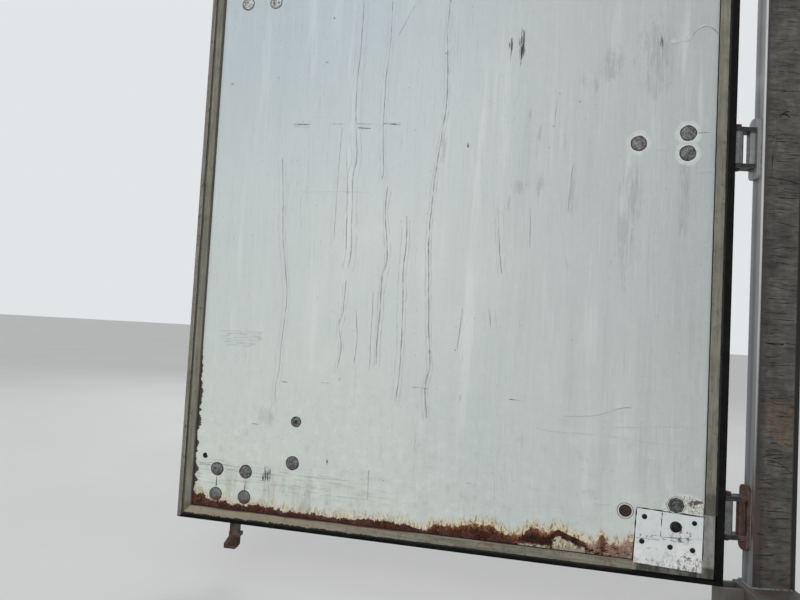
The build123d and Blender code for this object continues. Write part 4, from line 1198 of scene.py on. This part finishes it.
patch = Shape()
grid(patch, 88, 75, lambda x, y: patch_point(x, y, True), lambda x, y: patch_point(x, y, False))
sheet = patch.piece("patch_sheet", "leaf", "patch_paint", "patch", 60)
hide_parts("repair_plate")
screws = Shape()
for index, (a, b) in enumerate([(-52.4, 42.7), (46.9, 44.2), (-54, -10.1), (3, -13.1), (47.4, -12.7)]):
    profile = [(5.4, -0.6), (5.5, 0.4), (5.0, 1.4), (3.6, 2.1), (2.6, 2.2), (2.2, 1.2), (0.3, 1.0)]
    screws.turned(on_patch(a, b, -2.2), -OUT, profile, 28, uneven=0.03, seed=index)
head = [(10.0, -0.6), (10.2, 0.6), (9.8, 2.4), (7.6, 3.4), (6.6, 2.6), (5.4, 3.6), (3.0, 4.1), (0.3, 4.2)]
screws.turned(on_patch(*PATCH_BOLT, -2.8), -OUT, head, 36, uneven=0.05, seed=8)
washer = [(12.0, -0.3), (12.2, 0.3), (11.8, 0.8), (10.4, 0.9), (10.2, 0.2), (0.3, 0.2)]
screws.turned(on_patch(*PATCH_BOLT, -2.4), -OUT, washer, 40, uneven=0.04, seed=9)
screws.piece("patch_screws", "leaf", "hardware_steel", "screw")


def on_patch_face(a, b, depth):
    return on_patch(a, b, patch_lift(a, b) + depth)


# Creases pressed into the patch, and a painted shadow line along its edges.
crease_and_shadow_lines = Shape()
for index, (half, *points) in enumerate([
        (0.9, (-17.6, 57), (-17.8, 30), (-17.4, 6)), (0.8, (-17, 6), (8, 7.5), (34, 10)),
        (0.5, (2, 1), (18, 0), (31, 2)), (0.5, (-15, 2), (-6, 1)),
        (0.5, (-67, -4), (-40, -3), (-18, -2)), (0.4, (-20, 46), (-20, 38)), (0.6, (-36, 6), (-24, 7)),
        (0.5, (-40, 2), (-30, 1)), (0.5, (24, -32), (31, -26))]):
    mark(crease_and_shadow_lines, points, half, on_patch_face, index * 3.1 + 60, 0.16, 0.5, 1.5)
# Painted shadow: dark lines just outside the patch's edges.
for index, points in enumerate([[(-70, 59.5), (0, 59.3), (69, 59.4)], [(-69.4, 58), (-69.2, 0), (-69.4, -56)],
                                [(65.6, 58), (67.2, 10), (68.6, -30)]]):
    mark(crease_and_shadow_lines, points, 1.5, on_patch, index * 3.1 + 80, 0.05, 0.4, 1.5)
crease_and_shadow_lines.piece("patch_crease_and_shadow_lines", "leaf", "patch_paint", "grime_and_shade", 180)

# Weld beads.
post_welds, rod_welds = Shape(), Shape()
for rank, height in enumerate(HINGES):
    # The bead on the leaf's side is lean: the closed door's fin ends a millimetre from the plate.
    for side, y, radius in ((-1, -13.5, 1.1), (1, 18.0, 2.6)):
        line = [Vector((POST_REAR - 0.2, y, z)) * 0.001 for z in (height - 57.5, height + 57.5)]
        post_welds.bead(line, radius, rank * 3 + side)
for z, radius in ((140.2, 3.4), (2941.8, 3.0)):
    corners = [(POST_FAR, -POST_HALF), (POST_REAR, -POST_HALF), (POST_REAR, POST_HALF), (POST_FAR, POST_HALF)]
    post_welds.bead([Vector((x, y, z)) * 0.001 for x, y in corners], radius, z)
post_welds.piece("post_welds", "post", "frame_steel", "weld")


# Round the rod, at the cams and at the handle's hub: height, radius of the ring and of the bead.
for z, around, radius in ((137, 13.6, 1.9), (2844, 13.6, 1.9), (331, 14.6, 1.7), (381, 14.6, 1.7)):
    turns = [k * math.pi / 12 for k in range(24)]
    ring = [by_pin(SHEET_EDGE - ROD_S + around * math.cos(t), 1.0 + around * math.sin(t), z) for t in turns]
    rod_welds.bead(ring, radius, z, True)
rod_welds.piece("rod_welds", "rod", "hardware_steel", "weld")

# Crust of rust along the bottom edge of the sheet: the part of a rough sheet that stands above the skin.
CRUST_END = 1036


def line_height(points, s):
    for (a, low), (b, high) in zip(points, points[1:]):
        if a <= s <= b:
            return low + (high - low) * (s - a) / (b - a)
    return points[-1][1]


def crust_height(s, h):
    thick = smooth(s, 450, 800)
    top = line_height(RUST_TOP, s) * (1.0 - 0.12 * thick) - 0.5
    top += 3 * rough_at(s * 0.055, 3.0, 0.0) + 6 * rough_at(s * 0.23, h * 0.1, 1.0)
    inside = smooth(top - h, -1.0, 5.0)
    rough = noise.fractal(Vector((s * 0.24, h * 0.3, 0.0)), 0.8, 2.1, 4) * 1.4
    gaps = rough_at(s * 0.04, h * 0.06, 7.0)
    low = inside * (0.9 + rough) * (0.55 + 0.75 * thick) - 0.3 - 1.2 * smooth(gaps, 0.02, 0.3)
    scale = line_height(ARCH, s) if s > ARCH[0][0] else 0.0
    wobble = 4.0 * rough_at(s * 0.16, h * 0.2, 5.0) + 2.5 * rough_at(s * 0.45, h * 0.5, 6.0)
    arch = smooth(s, 795, 815) * smooth(s, 950, 935)
    bare = smooth(scale - h + wobble, 5.0, 8.0) * smooth(s, 870, 876) * smooth(s, 944, 938)
    bare = max(bare, smooth(h + wobble, 8.0, 5.5) * smooth(s, 798, 806) * smooth(s, 870, 864))
    low += 1.1 * arch * smooth(abs(h - scale), 8.0, 4.0)
    return low - 3.5 * bare - 0.6 * smooth(h, 2.0, 0.0) - 3.0 * smooth(s, CRUST_END - 10, CRUST_END)


crust = Shape()
step_s, step_h = 1.2, 1.0
columns, rows = int(CRUST_END / step_s), int(50 / step_h)
heights = {(column, row): crust_height(column * step_s, row * step_h)
           for column in range(columns + 1) for row in range(rows + 1)}
numbers = {}
for column in range(columns):
    for row in range(rows):
        corners = [(column, row), (column + 1, row), (column + 1, row + 1), (column, row + 1)]
        if max(heights[c] for c in corners) <= 0.0:
            continue
        for c in corners:
            if c not in numbers:
                numbers[c] = len(crust.points)
                crust.points.append(leaf(c[0] * step_s, c[1] * step_h, -max(heights[c], -0.4)))
        crust.faces.append(tuple(numbers[c] for c in corners))
crust.piece("rust_crust", "leaf", "skin_paint", "crust", 180)

# Stage, light and camera
bpy.ops.mesh.primitive_plane_add(size=60, location=(0, 0, 0))
floor = bpy.context.object
floor.name = "floor"
ground = Paint("floor_pale", 0.9)
pebbled = ground.noise(1.2, 4, 0.6)
floor.data.materials.append(ground.done(ground.shades(pebbled, (0.3, 209, 209, 207), (0.7, 214, 214, 212))))

world = bpy.data.worlds.new("studio")
bpy.context.scene.world = world
world.use_nodes = True
tree = world.node_tree
ambient = tree.nodes["Background"]
ambient.inputs["Color"].default_value = (0.96, 0.98, 1.0, 1.0)
ambient.inputs["Strength"].default_value = 0.68
backdrop = tree.nodes.new("ShaderNodeBackground")
backdrop.inputs["Color"].default_value = tone(226, 229, 231)
backdrop.inputs["Strength"].default_value = 1.0


def fed(made, *sources):
    """A node of the world with its first inputs linked, and its first output."""
    for slot, source in zip(made.inputs, sources):
        tree.links.new(source, slot)
    return made.outputs[0]


def greater(*sources):
    made = tree.nodes.new("ShaderNodeMath")
    made.operation = "MAXIMUM"
    return fed(made, *sources)


# The backdrop shows to the camera, to reflections and to what shines through, and the ambient light elsewhere.
ray = tree.nodes.new("ShaderNodeLightPath").outputs
seen = greater(ray["Is Camera Ray"], greater(ray["Is Glossy Ray"], ray["Is Transmission Ray"]))
blend = fed(tree.nodes.new("ShaderNodeMixShader"), seen, ambient.outputs[0], backdrop.outputs[0])
tree.links.new(blend, tree.nodes["World Output"].inputs["Surface"])


def lamp(name, spot, target, power, size):
    data = bpy.data.lights.new(name, "AREA")
    data.energy = power
    data.size = size
    turn = (target - spot).to_track_quat("-Z", "Y")
    placed(name, data).matrix_world = Matrix.Translation(spot) @ turn.to_matrix().to_4x4()


middle = leaf(620, 1300)
lamp("key", middle + (OUT * -3.8 + ALONG * 0.3 + UP * 0.4), middle, 69, 3.2)
lamp("back", middle + (OUT * 3.6 + ALONG * 1.2 + UP * 2.0), middle, 60, 3.0)

# The photo's camera, as solved from its 800 pixels of width.
FOCAL_PIXELS = 564.5348
YAW, PITCH, ROLL = 0.190045325, -0.0427414617, 0.054648543
EYE = leaf(753.5088, 476.7467, -1315.2427)
cy, sy, cp, sp, cr, sr = (f(v) for v in (YAW, PITCH, ROLL) for f in (math.cos, math.sin))
view = Matrix(((cr, -sr, 0), (sr, cr, 0), (0, 0, 1)))
view = view @ Matrix(((1, 0, 0), (0, cp, -sp), (0, sp, cp))) @ Matrix(((cy, 0, sy), (0, 1, 0), (-sy, 0, cy)))
right, down, ahead = ((-ALONG * row[0] - UP * row[1] + OUT * row[2]) for row in view)
lens = bpy.data.cameras.new("camera")
lens.sensor_width = 36.0
lens.lens = FOCAL_PIXELS / 800 * 36
camera = placed("camera", lens)
camera.matrix_world = Matrix((*zip(right, -down, -ahead, EYE), (0, 0, 0, 1)))
bpy.context.scene.camera = camera
bpy.context.scene.view_settings.view_transform = "Standard"
